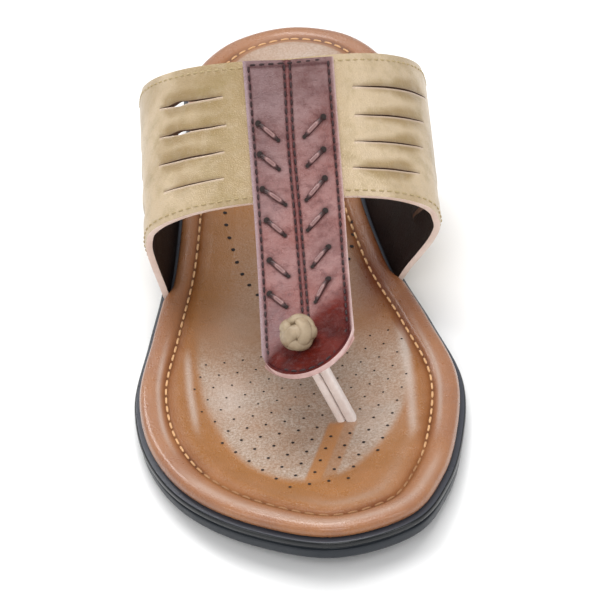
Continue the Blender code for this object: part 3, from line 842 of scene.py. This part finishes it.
def band_grid():
    """Outer face of the band, its cells that are open, v of its rows, how clear each point is of the
    slits (0 to 1), and its lip: 0.5, but 1 on a slit's front edge and 0 on its rear edge. A slit is two
    rows of points, its rear edge (-1) and its front edge (1), which part where it is open."""
    ats = column(SLIT_ROWS, "at")
    rows, owner = [0.0], [None]
    for k, at in enumerate(ats):
        rows += [*np.linspace(rows[-1], at, 9)[1:], at]
        owner += [None] * 7 + [(k, -1), (k, 1)]
    rows += [*np.linspace(ats[-1], 1.0, 10)[1:]]
    owner += [None] * 9
    shares = np.linspace(0, 1, BAND_COLUMNS + 1)
    wide = {(k, side): slit_opening(shares, row, side) for k, row in enumerate(SLIT_ROWS) for side in (1, -1)}
    step = 0.02
    lines = []
    for v, slit in zip(rows, owner):
        sides = []
        for side in (1, -1):
            k, way = slit or (0, 0)
            apart = way * np.maximum(wide[k, side], 0.01) * MM / (BAND_TOP_FRONT - BAND_TOP_REAR)
            base = band_line(side, v, shares)
            base = base + (band_line(side, v + step, shares) - base) * (apart / step)[:, None]
            near = [ease(wide[j, side] / 0.2) * (1 - min(abs(v - at) / 0.095, 1)) for j, at in enumerate(ats)]
            lip = 0.5 + 0.5 * way * (wide[k, side] > 0)
            sides.append(np.c_[base, 1 - np.max(near, axis=0), lip])
        lines.append(np.concatenate([sides[0][::-1], sides[1][1:]]))
    x, s, z, clear, lips = np.moveaxis(np.array(lines), -1, 0)
    open_cells = np.zeros((len(rows) - 1, x.shape[1] - 1), bool)
    middle = 0.5 * (shares[1:] + shares[:-1])
    for r, slit in enumerate(owner[:-1]):
        if slit and slit[1] < 0:
            inner, outer = (slit_opening(middle, SLIT_ROWS[slit[0]], side) > 0 for side in (1, -1))
            open_cells[r] = np.concatenate([inner[::-1], outer])
    return place(x, s, z), open_cells, np.array(rows), clear, lips


def band_leather():
    """Satin-finished beige leather with close grain: cream as a painted highlight where it swells between
    the slits, and khaki as painted shade where it sinks by a slit.
    """
    look = Look("band_satin_leather")
    pebbles = grain(look, 1500)
    lip = painted(look, "lip")
    # Painted light: the swell between slits is a cream highlight, and the leather beside each slit khaki
    # shade.
    swell = look.remap(painted(look, "swell"), 0.2, 0.95, 0.0, 0.75)
    mottle_and_highlight = plus(look, look.patches(40, 4, 0.40, 0.60, 0, 0.6), swell)
    stops = ((0.0, (0.265, 0.180, 0.084)), (0.5, (0.330, 0.230, 0.112)), (1.0, (0.540, 0.420, 0.275)))
    off_middle = calc(look.tree, "ABSOLUTE", plus(look, axis_of(look, "X"), 0.0041))
    base = layered(look, ramp(look, mottle_and_highlight, stops), (
        ((0.265, 0.180, 0.068), look.remap(off_middle, 0.012, 0.026, 0.75, 0)),
        ((0.280, 0.205, 0.085), look.patches(140, 5, 0.50, 0.70, 0, 0.5, 0.65)),
        ((0.620, 0.480, 0.390), look.remap(lip, 0.5, 1.0, 0, 0.75)),
        # Each slit's rear lip is painted dark as shade where the leather rolls down into it.
        ((0.170, 0.105, 0.055), look.remap(lip, 0.5, 0.0, 0, 0.55)),
        ((0.480, 0.385, 0.275), look.patches(260, 5, 0.48, 0.72, 0, 0.35, 0.7)),
        ((0.200, 0.130, 0.070), times(look, pebbles["Pores"], 0.14)),
    ))
    return look.finish({
        "Base Color": base,
        "Roughness": look.remap(pebbles["Height"], 0.3, 1.2, 0.40, 0.30),
        "Metallic": 0.12,
        "Normal": look.bump(pebbles["Height"], 0.00006, look.bump(look.noise(150, 3), 0.0005)),
    })


def plain_leather(name, colour, shade, cells, depth, roughness, specular=0.5):
    """Leather of one colour with a darker shade in patches."""
    look = Look(name)
    patches = look.patches(190, 5, 0.35, 0.7, 0, 1)
    return look.finish({
        "Base Color": look.blend(colour, shade, patches),
        "Roughness": look.remap(patches, 0, 1, roughness, roughness + 0.12),
        "Specular IOR Level": specular,
        "Normal": look.bump(grain(look, cells)["Height"], depth),
    })


def wall(item, thickness, edge_width, faces=1):
    """Gives an outer face its wall and softens the cut edges. The outer materials come first, then as
    many for the lining, then as many for the cut edges."""
    solid = item.modifiers.new("wall", "SOLIDIFY")
    solid.thickness = thickness
    solid.offset = -1.0
    solid.use_even_offset = True
    solid.material_offset = faces
    solid.material_offset_rim = 2 * faces
    soft = item.modifiers.new("soft edges", "BEVEL")
    soft.width = edge_width
    soft.segments = 3
    soft.limit_method = "ANGLE"
    soft.angle_limit = math.radians(50)


band_points, band_open, band_v, swell, lips = band_grid()
out = normals_of(band_points)
way_out = np.sign(np.sum(out * (band_points - UNDER_BAND), axis=-1).mean())
out = out * way_out
puff = (1 - (1 - ease(swell)) ** 2) * SWELL * ease(np.minimum(band_v, 1 - band_v) / 0.05)[:, None]
band_points = band_points + out * puff[..., None]
closed = ~band_open.ravel()
quads = grid_quads(*band_points.shape[:2])[closed]
grown = np.pad(band_open, 1)
by_slit = grown[:-2, 1:-1] | grown[2:, 1:-1] | grown[1:-1, :-2] | grown[1:-1, 2:]
satin = band_leather()
lining = plain_leather("band_lining", (0.008, 0.003, 0.002), (0.016, 0.006, 0.004), 1300, 0.00006, 0.5, 0.2)
painted_edge = plain_leather("band_painted_edge", (0.92, 0.76, 0.68), (0.80, 0.62, 0.52), 2200, 0.00004, 0.4)
# The slits' cut edges are dark brown as painted shade inside the narrow slits; the outer cut edges keep their
# pale paint.
slit_edge_shade = plain_leather("band_slit_edge_shade", (0.130, 0.070, 0.045), (0.220, 0.130, 0.085), 2200, 0.00004, 0.6)
leathers = [satin, satin, lining, lining, painted_edge, slit_edge_shade]
band = add_piece("instep_band_leather", band_points, quads, leathers, ["instep_band"],
                 by_slit.ravel()[closed], {"swell": swell, "lip": lips}, merge=False, turn=False)
if way_out < 0:
    band.data.flip_normals()
wall(band, BAND_WALL, 0.22 * MM, 2)

beige_thread = thread("band_thread", (0.46, 0.35, 0.18))
for edge_name, at_v in BAND_SEAMS:
    k = int(np.searchsorted(band_v, at_v))
    part = (at_v - band_v[k - 1]) / (band_v[k] - band_v[k - 1])
    line = band_points[k - 1] * (1 - part) + band_points[k] * part
    sew(f"band_{edge_name}_stitches", line, out[k], BAND_STITCH, beige_thread, lift=0.1,
        end=lengths(line)[-1] - 2 * MM)

# Toe strap. A strip of waxed maroon leather backed with pale pink, sewn to the crown of the band and down
# its middle, with six leather whipstitches slanting in on each side. Its round tip twists outwards.
STRAP_WALL = 1.6 * MM
STRAP_WIDTH = 23.6 * MM
STRAP_MIDDLE = 0.8 * MM
STRAP_REAR = BAND_TOP_REAR
STRAP_TIP = 0.844 * LENGTH
STRAP_TWIST = 17
TWIST_FROM = BAND_TOP_FRONT
TWIST_TO = 0.812 * LENGTH
TIP_ROUNDING = 17 * MM
STRAP_CREASES = table(
    "from to depth width",
    ((-9.0, 124.5), (-2.5, 122.5), 0.22, 0.6),
    ((2.5, 126.0), (9.5, 123.5), 0.20, 0.7),
    ((3.0, 131.5), (9.8, 128.5), 0.26, 0.8),
    ((-10.0, 132.5), (-5.0, 130.0), 0.20, 0.6),
    ((-9.8, 158.0), (-4.5, 154.5), 0.20, 0.8),
    ((4.0, 172.5), (10.6, 166.5), 0.24, 0.8),
    ((4.6, 185.0), (10.8, 175.5), 0.30, 1.0),
    ((-10.2, 190.0), (-5.6, 183.5), 0.24, 0.9),
    ((-8.0, 197.5), (-2.0, 203.5), 0.30, 1.1),
    ((5.5, 200.5), (10.5, 193.5), 0.30, 1.1),
)
EDGE_SEAM = 1.4 * MM
TWIN_SEAM = 0.72 * MM
TWIN_END = 191 * MM
FURROW_DEPTH = 0.34
STRAP_STITCH = {"pitch": 2.5 * MM, "length": 2.05 * MM, "radius": 0.34 * MM}
WHIPSTITCHES = table(
    "outer_x outer_s inner_x inner_s",
    (-8.1, 136.3, -3.2, 140.8),
    (-8.3, 144.0, -3.6, 148.1),
    (-8.3, 152.7, -2.6, 157.1),
    (-7.8, 160.6, -3.3, 165.1),
    (-7.7, 171.0, -3.0, 176.6),
    (-8.2, 180.2, -3.9, 185.6),
    (8.8, 135.9, 3.5, 140.4),
    (8.2, 144.0, 3.7, 147.8),
    (8.0, 151.2, 2.8, 156.3),
    (7.5, 159.5, 2.6, 164.4),
    (7.7, 169.8, 3.3, 175.1),
    (7.2, 179.8, 3.6, 186.4),
)


def strap_under(x, s):
    """The strap's underside at plan x and ridge station s: the band's own arch, then the twist."""
    off = x - BAND_RIDGE_X
    widest = np.where(off > 0, BAND_INNER_REACH - BAND_RIDGE_X, BAND_OUTER_REACH + BAND_RIDGE_X)
    fine = np.linspace(0, 1, 240)
    reach = arch_curve(fine, "reach")
    drop_line = np.clip(arch_curve(fine, "drop"), 0, 1)
    upper = reach.argmax()
    drop = np.interp(np.abs(off) / widest, reach[:upper], drop_line[:upper])
    v = (s - BAND_TOP_REAR) / (BAND_TOP_FRONT - BAND_TOP_REAR)
    foot_s = np.minimum(BAND_FOOT_REAR + (BAND_FOOT_FRONT - BAND_FOOT_REAR) * v, s)
    foot_z = sole_top(foot_s) + GAP
    turn = math.tan(math.radians(STRAP_TWIST)) * ease((s - TWIST_FROM) / (TWIST_TO - TWIST_FROM))
    z = ridge(s) - (ridge(s) - foot_z) * drop + turn * (x - STRAP_MIDDLE)
    return place(x, s - (s - foot_s) * drop**BAND_SWEEP, z)


def strap_tip_s(share):
    """s of the strap's rounded end at this share of its half width."""
    return STRAP_TIP - TIP_ROUNDING * (1 - np.sqrt(1 - (0.97 * share) ** 2))


def strap_top(x, s, lift=0.0):
    """Points and normals of the strap's upper face, lifted by a height."""
    step = 0.4 * MM
    ahead, aside = strap_under(x, s + step), strap_under(x + step, s)
    here = strap_under(x, s)
    normal = np.cross(aside - here, here - ahead)
    normal = unit(normal * np.sign(normal[..., 2:]))
    return here + normal * (GAP + STRAP_WALL + lift), normal


def seam_x(s):
    """x of the middle of the twin seam, which bends back and forth on its way to the knot."""
    return smooth(s / MM, (115, 121, 140, 165, 191, 215), (0.6, 0.5, 0.0, 0.35, 0.8, 1.1)) * MM


def off_line(x, s, start, stop):
    """Distance of plan points from a straight line between two others, and the share of it beside them."""
    run = np.subtract(stop, start) * MM
    x, s = x - start[0] * MM, s - start[1] * MM
    share = np.clip((x * run[0] + s * run[1]) / (run @ run), 0, 1)
    return np.hypot(x - share * run[0], s - share * run[1]), share


def strap_leather():
    """Waxed maroon leather: mauve at the crown and lilac along its outer side as a painted sheen, redder
    further along it and in the seams, dark red at the tip where no sheen is painted, and pale along its
    skived sides. Its seam furrows, creases and the ground under and round each lace are darkened as
    painted shade."""
    look = Look("strap_waxed_leather")
    drift = look.patches(110, 4, 0.3, 0.7, -0.003, 0.003)
    far = plus(look, towards(look, (0.68, -1.0, 0.0)), drift)
    tip = look.remap(far, 0.0655, 0.0735, 0, 1)
    across = axis_of(look, "X")
    patch = look.patches(75, 5, 0.40, 0.62, 0, 1, 0.6)
    # Painted sheen: mauve at the crown, lighter red further along, and the tip's dark red where no sheen is
    # painted.
    crown = look.blend((0.125, 0.048, 0.044), (0.205, 0.118, 0.118), patch)
    middle = look.blend((0.235, 0.080, 0.068), (0.300, 0.155, 0.146), patch)
    tip_without_sheen = look.blend((0.052, 0.004, 0.002), (0.125, 0.013, 0.008), patch)
    raw = look.blend((0.340, 0.245, 0.262), (0.520, 0.370, 0.350), look.remap(across, -0.002, 0.002, 0, 1))
    # Lilac painted sheen along the outer side, fading out before the tip.
    lilac_sheen = times(look, look.remap(across, -0.0045, 0.0035, 0.75, 0.05), look.remap(tip, 0, 1, 1, 0))
    russet = look.remap(across, 0.001, 0.008, 0.0, 0.5)
    russet = times(look, russet, look.patches(95, 5, 0.50, 0.62, 0, 1, 0.7))
    base = layered(look, crown, (
        (middle, look.remap(far, 0.006, 0.038, 0, 1)),
        (tip_without_sheen, tip),
        ((0.30, 0.18, 0.17), look.patches(420, 6, 0.55, 0.75, 0, 0.35, 0.75)),
        ((0.105, 0.034, 0.036), look.patches(300, 5, 0.36, 0.49, 0.55, 0, 0.75)),
        # The creases darkened as painted shade.
        ((0.085, 0.022, 0.022), share(look, painted(look, "folds"), 0.45)),
        ((0.185, 0.108, 0.112), times(look, lilac_sheen, look.patches(48, 4, 0.42, 0.58, 0.1, 1, 0.6))),
        ((0.120, 0.028, 0.024), russet),
        ((0.150, 0.036, 0.033), share(look, painted(look, "between_seams"), 0.75)),
        # Seam furrows and the ground under and round each lace, darkened as painted shade.
        ((0.062, 0.010, 0.011), share(look, painted(look, "furrow"), 0.9)),
        (raw, share(look, painted(look, "skived"), 0.75)),
    ))
    folded = look.add("ShaderNodeMapping", {"Vector": look.where, "Scale": (1.0, 2.4, 2.0)}).outputs[0]
    soft = look.bump(look.noise(90, 4, where=folded), 0.0015)
    soft = look.bump(look.noise(420, 4, 0.65), 0.00045, soft)
    return look.finish({
        "Base Color": base,
        "Roughness": look.remap(patch, 0, 1, 0.32, 0.44),
        "Specular IOR Level": look.remap(tip, 0, 1, 0.38, 0.10),
        "Normal": look.bump(grain(look, 1700)["Height"], 0.00006, soft),
    })


across = np.linspace(-1, 1, 121)
strap_front = strap_tip_s(across)
strap_rear = STRAP_REAR + (0.7 + 0.25 * across) * MM
strap_s = strap_rear + (strap_front - strap_rear) * np.linspace(0, 1, 281)[:, None]
strap_x = np.broadcast_to(STRAP_MIDDLE + STRAP_WIDTH / 2 * across, strap_s.shape)
to_side = STRAP_WIDTH / 2 * (1 - np.abs(across)) * np.ones_like(strap_s)
from_edge = np.min([to_side, strap_s - strap_rear, strap_front - strap_s], axis=0)
from_middle = np.abs(strap_x - seam_x(strap_s)) + 9 * MM * ease((strap_s - TWIN_END) / (3 * MM))
from_twin = np.abs(from_middle - TWIN_SEAM)
# furrow marks the seam grooves, the ground under each lace and round its holes; the strap darkens it as
# painted shade.
furrow = bell(from_edge, EDGE_SEAM, 0.40 * MM) + bell(from_twin, 0, 0.36 * MM)
for row in WHIPSTITCHES:
    ends = (row["outer_x"], row["outer_s"]), (row["inner_x"], row["inner_s"])
    to_lace, part = off_line(strap_x, strap_s, *ends)
    to_end = np.where(part < 0.5, 0.75, 1.1) * np.hypot(to_lace, 5 * MM * np.minimum(part, 1 - part))
    furrow = np.max([furrow, 0.50 * bell(to_lace, 0, 0.9 * MM), 0.98 * bell(to_end, 0, 0.95 * MM)], axis=0)
furrow = np.clip(furrow, 0, 1)
folds = np.zeros_like(strap_s)
for row in STRAP_CREASES:
    to_crease, part = off_line(strap_x, strap_s, row["from"], row["to"])
    fade_out = np.sin(np.pi * np.clip(part, 0.02, 0.98)) ** 0.6
    folds = folds + row["depth"] * fade_out * bell(to_crease, 0, row["width"] * MM)
relief = 0.32 * ease((from_edge - EDGE_SEAM) / (3 * MM)) * ease(from_twin / (3 * MM))
relief = relief - FURROW_DEPTH * furrow - folds * (1 - furrow)
top, strap_normal = strap_top(strap_x, strap_s)
top = top + strap_normal * (relief * MM)[..., None]
strap_paint = {
    "furrow": furrow,
    "folds": folds / 0.3,
    "between_seams": ease((TWIN_SEAM + 0.2 * MM - from_middle) / (0.4 * MM)),
    "skived": bell(to_side, 0, np.where(across < 0, 0.90 * MM, 0.40 * MM)),
}
pink_backing = plain_leather("strap_backing", (0.52, 0.34, 0.31), (0.42, 0.25, 0.22), 1500, 0.00006, 0.55)
pink_edge = plain_leather("strap_cut_edge", (0.74, 0.53, 0.50), (0.52, 0.33, 0.31), 2200, 0.00004, 0.45)
leathers = [strap_leather(), pink_backing, pink_edge]
quads = grid_quads(*top.shape[:2])
strap = add_piece("toe_strap_leather", top, quads, leathers, ["toe_strap"],
                  paint=strap_paint, merge=False, turn=False)
if strap.data.polygons[0].normal.z < 0:
    strap.data.flip_normals()
wall(strap, STRAP_WALL, 0.25 * MM)

dark_thread = thread("strap_thread", (0.030, 0.009, 0.010), 0.6)
edge_share = np.linspace(-1, 1, 121) * (1 - EDGE_SEAM / (STRAP_WIDTH / 2))
edge_x_line = STRAP_MIDDLE + STRAP_WIDTH / 2 * edge_share
front_s = strap_tip_s(edge_share / (1 - EDGE_SEAM / (STRAP_WIDTH / 2))) - EDGE_SEAM
rear_s = STRAP_REAR + EDGE_SEAM
down = np.linspace(0, 1, 160)
seam_runs = {
    "outer": (np.full(160, edge_x_line[0]), rear_s + (front_s[0] - rear_s) * down),
    "tip": (edge_x_line, front_s),
    "inner": (np.full(160, edge_x_line[-1]), rear_s + (front_s[-1] - rear_s) * down),
    "rear": (edge_x_line, np.full(121, rear_s)),
}
twin_s = rear_s + (TWIN_END - rear_s) * down
for side_name, side in (("outer", -1), ("inner", 1)):
    seam_runs[f"twin_{side_name}"] = (seam_x(twin_s) + side * TWIN_SEAM, twin_s)

for seam_name, (x, s) in seam_runs.items():
    line, normal = strap_top(x, s, -FURROW_DEPTH * MM)
    sew(f"strap_{seam_name}_stitches", line, normal, STRAP_STITCH, dark_thread)

LACE_WIDTH = 1.20 * MM
LACE_RISE = 0.62 * MM
LACE_GRID = (25, 16)
HOLE_GRID = (5, 14)


def whipstitch(row):
    """One lace strand: a flat oval carried from hole to hole, arched up by a half sine."""
    u = np.linspace(0, 1, LACE_GRID[0])[:, None]
    turn = circle(LACE_GRID[1])
    start = np.array([row["outer_x"], row["outer_s"]]) * MM
    stop = np.array([row["inner_x"], row["inner_s"]]) * MM
    run = unit(stop - start)
    taper = np.clip(np.sin(np.pi * u) * 2.2, 0, 1) ** 0.5
    wide = LACE_WIDTH / 2 * (0.55 + 0.45 * taper) * np.cos(turn)
    centre = start + (stop - start) * u
    ground, normal = strap_top(centre[:, :1] - run[1] * wide, centre[:, 1:] + run[0] * wide)
    arch = LACE_RISE * np.sin(np.pi * u) ** 0.5 - 0.8 * MM * (1 - taper)
    return ground + normal * (arch + 0.5 * MM * np.sin(turn) * (0.4 + 0.6 * taper))[..., None]


def eyelets(name, spots, radius, lift, ground, material):
    """Punched holes: round discs of rings of points that follow a surface and stand just over it, their
    dark colour painted shade for the holes' depth.
    """
    r = np.linspace(0, 1, HOLE_GRID[0])[:, None]
    turn = circle(HOLE_GRID[1])
    radius = np.broadcast_to(radius, len(spots))[:, None, None]
    x = spots[:, 0, None, None] + radius * r * np.cos(turn)
    s = spots[:, 1, None, None] + radius * r * np.sin(turn)
    return add_piece(name, ground(x, s, lift), tubes(len(spots), *HOLE_GRID), [material], turn=False)


def lace_leather():
    """The strap's own leather cut into laces: pale along the crown as a painted highlight, nearly black
    where it meets the strap as painted shade.
    """
    look = Look("whipstitch_lace_leather")
    stops = (
        (0.00, (0.018, 0.004, 0.004)),
        (0.55, (0.040, 0.010, 0.010)),
        (0.78, (0.150, 0.062, 0.058)),
        (0.90, (0.300, 0.170, 0.160)),
        (1.00, (0.150, 0.062, 0.058)),
    )
    return look.finish({
        "Base Color": ramp(look, painted(look, "crown"), stops),
        "Roughness": 0.36,
        "Normal": look.bump(look.noise(1300, 3), 0.00008),
    })


laces = np.array([whipstitch(row) for row in WHIPSTITCHES])
u = np.linspace(0, 1, LACE_GRID[0])[:, None]
# crown is 1 along the top of each lace and 0 underneath: the mask for its painted highlight and painted
# shade.
crown = (0.5 + 0.5 * np.sin(circle(LACE_GRID[1]))) * ease(u / 0.45) * ease((1 - u) / 0.25)
add_piece("strap_whipstitches", laces, tubes(len(laces), *LACE_GRID), [lace_leather()],
          paint={"crown": np.broadcast_to(crown, laces.shape[:-1])}, merge=False)
# Near black discs stand for the holes: painted shade for their depth.
hole_shade = plain_leather("punched_hole_shade", (0.010, 0.004, 0.003), (0.018, 0.008, 0.006), 2000, 0.00004, 0.8)
for name, radius in (("outer", 0.78 * MM), ("inner", 0.50 * MM)):
    ends = np.c_[column(WHIPSTITCHES, f"{name}_x"), column(WHIPSTITCHES, f"{name}_s")] * MM
    eyelets(f"strap_{name}_holes", ends, radius, 0.30 * MM, lambda x, s, lift: strap_top(x, s, lift)[0],
            hole_shade)

# Toe post. A strip of pale lace leather folded double, passed up through the footbed and the strap's
# tip. Its two plies lie side by side and aren't joined.
POST_FOOT = (8.9 * MM, 0.787 * LENGTH)
POST_TOP = (0.4 * MM, 0.797 * LENGTH)
PLIES = table(
    "ply middle width depth turn",
    ("outer", -1.40, 2.1, 3.2, 0.10),
    ("inner", 1.05, 2.6, 3.7, -0.06),
)
PLY_GRID = (41, 40)
POST_ROOT = 1.8 * MM

foot = place(*POST_FOOT, sole_top(POST_FOOT[1]) + GAP + 2.3 * MM)
head = strap_under(np.array([POST_TOP[0]]), np.array([POST_TOP[1]]))[0]
axis = unit(head - foot)
through = unit(np.cross(axis, (1, 0, 0)))
beside = np.cross(through, axis)


def ply(row):
    """One ply of the folded lace: a rounded oblong carried up the post, its sides wavering a little."""
    u = np.linspace(0, 1, PLY_GRID[0])[:, None]
    turn = circle(PLY_GRID[1])
    wide = row["width"] / 2 * np.sign(np.sin(turn)) * np.abs(np.sin(turn)) ** 0.55
    deep = row["depth"] / 2 * np.sign(np.cos(turn)) * np.abs(np.cos(turn)) ** 0.65
    wide = wide * (1 + 0.03 * np.sin(8 * u + row["middle"])) + row["middle"]
    deep = deep + row["turn"] * wide + 0.10 * np.sin(6 * u)
    low, high = foot - axis * POST_ROOT, head + axis * (GAP + STRAP_WALL)
    middle = low + (high - low) * u[..., None]
    return middle + (wide * MM)[..., None] * beside + (deep * MM)[..., None] * through


def lace_pale():
    """Pale pink undyed lace: fibres along it, greyed where it is handled."""
    look = Look("post_lace_leather")
    stretched = look.add("ShaderNodeMapping", {"Vector": look.where, "Scale": (1.0, 1.0, 0.12)}).outputs[0]
    fibre = look.noise(2400, 4, where=stretched)
    base = look.blend((0.90, 0.83, 0.80), (0.80, 0.71, 0.68), look.patches(300, 4, 0.35, 0.65, 0, 1))
    return look.finish({
        "Base Color": look.blend(base, (0.90, 0.84, 0.80), look.remap(fibre, 0.4, 0.7, 0, 0.5)),
        "Roughness": 0.45,
        "Normal": look.bump(fibre, 0.00006),
    })


plies = np.array([ply(row) for row in PLIES])
add_piece("toe_post_lace", plies, tubes(len(plies), *PLY_GRID), [lace_pale()], ["toe_post"])

# Knot. The lace's ends, woven into a flat button knot on the strap's tip that keeps the post from
# pulling through.
KNOT_WIDTH = 10.6 * MM
KNOT_HEIGHT = 7.4 * MM
KNOT_ASIDE = 0.5 * MM
STRAND_WIDTH = 3.6 * MM
STRAND_DEPTH = 2.4 * MM
STRAND_GRID = (360, 14)
CORE_GRID = (25, 40)
CORE_SHARE = 0.72


def strand(path, outwards):
    """Points and quads of the knot's closed strand: an oval carried round a closed path, flat side out."""
    tangent = unit(np.roll(path, -1, axis=0) - np.roll(path, 1, axis=0))
    side = unit(np.cross(tangent, outwards))
    up = np.cross(side, tangent)
    rows, sides = STRAND_GRID
    turn = circle(sides)[:, None]
    oval = np.cos(turn) * side[:, None] * STRAND_WIDTH / 2 + np.sin(turn) * up[:, None] * STRAND_DEPTH / 2
    return (path[:, None] + oval).reshape(-1, 3), grid_quads(rows + 1, sides, True) % (rows * sides)


def knot_path(leads=3, bights=4):
    """A Turk's head on a ball: it winds round leads times while it swings up and down bights times, and
    passes over and under itself by a cosine in step with its crossings."""
    t = circle(STRAND_GRID[0])
    swing = 1.04 * np.cos(bights * t)
    around = leads * t
    over = 0.085 * np.cos(2 * bights * t + 0.8)
    ball = np.stack([np.cos(swing) * np.cos(around), np.cos(swing) * np.sin(around), np.sin(swing)], axis=1)
    return ball * (0.76 + over)[:, None], ball


def knot_leather():
    """Beige lace leather, darker in patches where it has been handled."""
    look = Look("knot_lace_leather")
    patch = look.patches(420, 4, 0.35, 0.65, 0, 1)
    return look.finish({
        "Base Color": look.blend((0.38, 0.288, 0.186), (0.29, 0.215, 0.135), patch),
        "Roughness": 0.24,
        "Normal": look.bump(grain(look, 1900)["Height"], 0.00005),
    })


seat = head + axis * (STRAP_WALL + 2.0 * GAP + KNOT_HEIGHT / 2) - beside * KNOT_ASIDE
path, ball = knot_path()
size = np.array([KNOT_WIDTH / 2, KNOT_WIDTH / 2, KNOT_HEIGHT / 2])
turned = np.stack([beside, through, axis])
strand_points, strand_quads = strand(path * size @ turned + seat, ball @ turned)
up = np.linspace(0, np.pi, CORE_GRID[0])[:, None]
turn = circle(CORE_GRID[1])[None, :]
core = [np.sin(up) * np.cos(turn), np.sin(up) * np.sin(turn), np.cos(up) * np.ones_like(turn)]
core = (np.stack(core, axis=-1) * size * CORE_SHARE) @ turned + seat
points = np.concatenate([strand_points, core.reshape(-1, 3)])
quads = np.concatenate([strand_quads, grid_quads(*CORE_GRID, True) + len(strand_points)])
add_piece("knot_lace", points, quads, [knot_leather()], ["post_knot"])

# Pin holes. Punched through the footbed's skin: a slanting lattice in an oval over the forefoot, clear
# of the post, and a line of single holes down each side of the waist that draw together under the strap.
LATTICE_START = (-0.3, 220.3)
LATTICE_ALONG = (4.98, -0.83)
LATTICE_NEXT = (1.60, -5.27)
SIDE_LINES = table(
    "x forward",
    (-20.9, 99.3), (-20.6, 104.7), (-20.4, 110.1),
    (-19.7, 115.5), (-18.8, 120.3), (-17.9, 125.5),
    (-16.6, 130.6), (-14.8, 135.4), (-12.6, 139.9),
    (15.4, 102.5), (15.6, 107.8), (15.6, 113.1),
    (15.3, 118.4), (14.6, 123.6), (13.4, 128.7),
    (11.7, 133.6), (9.5, 138.3),
)


def bed_face(x, s, lift):
    """Points on the footbed at x and s, lifted a little."""
    return place(x, s, footbed_field(np.stack([x, s], axis=-1)) + lift)


steps = np.stack(np.meshgrid(np.arange(-12, 10), np.arange(-1, 12)), axis=-1).reshape(-1, 2)
lattice = np.array(LATTICE_START) + steps @ np.array([LATTICE_ALONG, LATTICE_NEXT])
half = 25.5 + 0.12 * np.clip(200 - lattice[:, 1], 0, 25)
inside = ((lattice[:, 0] + 2) / half) ** 2 + (np.clip(lattice[:, 1] - 180, 0, None) / 46) ** 2 < 1.07
by_post = np.linalg.norm(lattice * MM - POST_FOOT, axis=1) < 4 * MM
field = lattice[inside & ~by_post] * MM
singles = np.c_[column(SIDE_LINES, "x"), column(SIDE_LINES, "forward")] * MM
pricked = 0.30 * MM + 0.14 * MM * ease((field[:, 1] - 186 * MM) / (22 * MM))
eyelets("footbed_pin_holes", field, pricked, 0.10 * MM, bed_face, hole_shade)
eyelets("footbed_side_holes", singles, 0.60 * MM, 0.12 * MM, bed_face, hole_shade)

# Studio. A pale floor lit by large soft lights overhead, behind, in front and at both sides, and by a
# white surround. The camera stands at the photograph's angle.
floor_mesh = bpy.data.meshes.new("floor")
floor_mesh.from_pydata([(-6, -6, 0), (6, -6, 0), (6, 6, 0), (-6, 6, 0)], [], [(0, 1, 2, 3)])
floor = bpy.data.objects.new("floor", floor_mesh)
bpy.context.scene.collection.objects.link(floor)
floor_mesh.materials.append(Look("floor_paint").finish({"Base Color": (0.90, 0.90, 0.90), "Roughness": 0.9}))

LIGHTS = table(
    "name at width depth watts",
    ("softbox_over", (0.05, 0.10, 1.30), 0.9, 0.8, 9),
    ("softbox_behind", (-0.20, 0.80, 1.40), 0.7, 0.4, 6),
    ("strip_behind_left", (-0.75, 1.00, 0.75), 0.20, 0.5, 2.5),
    ("softbox_front", (-0.10, -1.50, 1.30), 1.2, 0.8, 13),
    ("fill_left", (-1.10, -0.40, 0.75), 0.5, 0.8, 3.5),
    ("fill_right", (1.00, -0.50, 0.70), 0.4, 0.8, 3),
)
AIM = mathutils.Vector((0, 0, 0.03))
for row in LIGHTS:
    lamp = bpy.data.lights.new(row["name"], "AREA")
    lamp.shape = "RECTANGLE"
    lamp.size = row["width"]
    lamp.size_y = row["depth"]
    lamp.energy = row["watts"]
    holder = bpy.data.objects.new(row["name"], lamp)
    bpy.context.scene.collection.objects.link(holder)
    holder.location = row["at"]
    holder.rotation_euler = (mathutils.Vector(row["at"]) - AIM).to_track_quat("Z", "Y").to_euler()

world = bpy.data.worlds.new("studio_white")
world.use_nodes = True
world.node_tree.nodes["Background"].inputs["Color"].default_value = (1.0, 1.0, 1.0, 1)
world.node_tree.nodes["Background"].inputs["Strength"].default_value = 0.45
bpy.context.scene.world = world
bpy.context.scene.view_settings.view_transform = "Standard"

CAMERA_LENS = 178.2
CAMERA_TURNS = (("Z", 0.328), ("X", 53.278), ("Z", -4.626))
CAMERA_STAND = (2.77 * MM - CENTRE_X, LENGTH / 2 - 801.91 * MM, 499.74 * MM)
lens = bpy.data.cameras.new("photo_view")
lens.sensor_width = 36
lens.sensor_fit = "HORIZONTAL"
lens.lens = CAMERA_LENS
lens.clip_start = 0.01
camera = bpy.data.objects.new("photo_view", lens)
bpy.context.scene.collection.objects.link(camera)
stance = mathutils.Matrix.Translation(CAMERA_STAND)
for letter, degrees in CAMERA_TURNS:
    stance = stance @ mathutils.Matrix.Rotation(math.radians(degrees), 4, letter)
camera.matrix_world = stance
bpy.context.scene.camera = camera
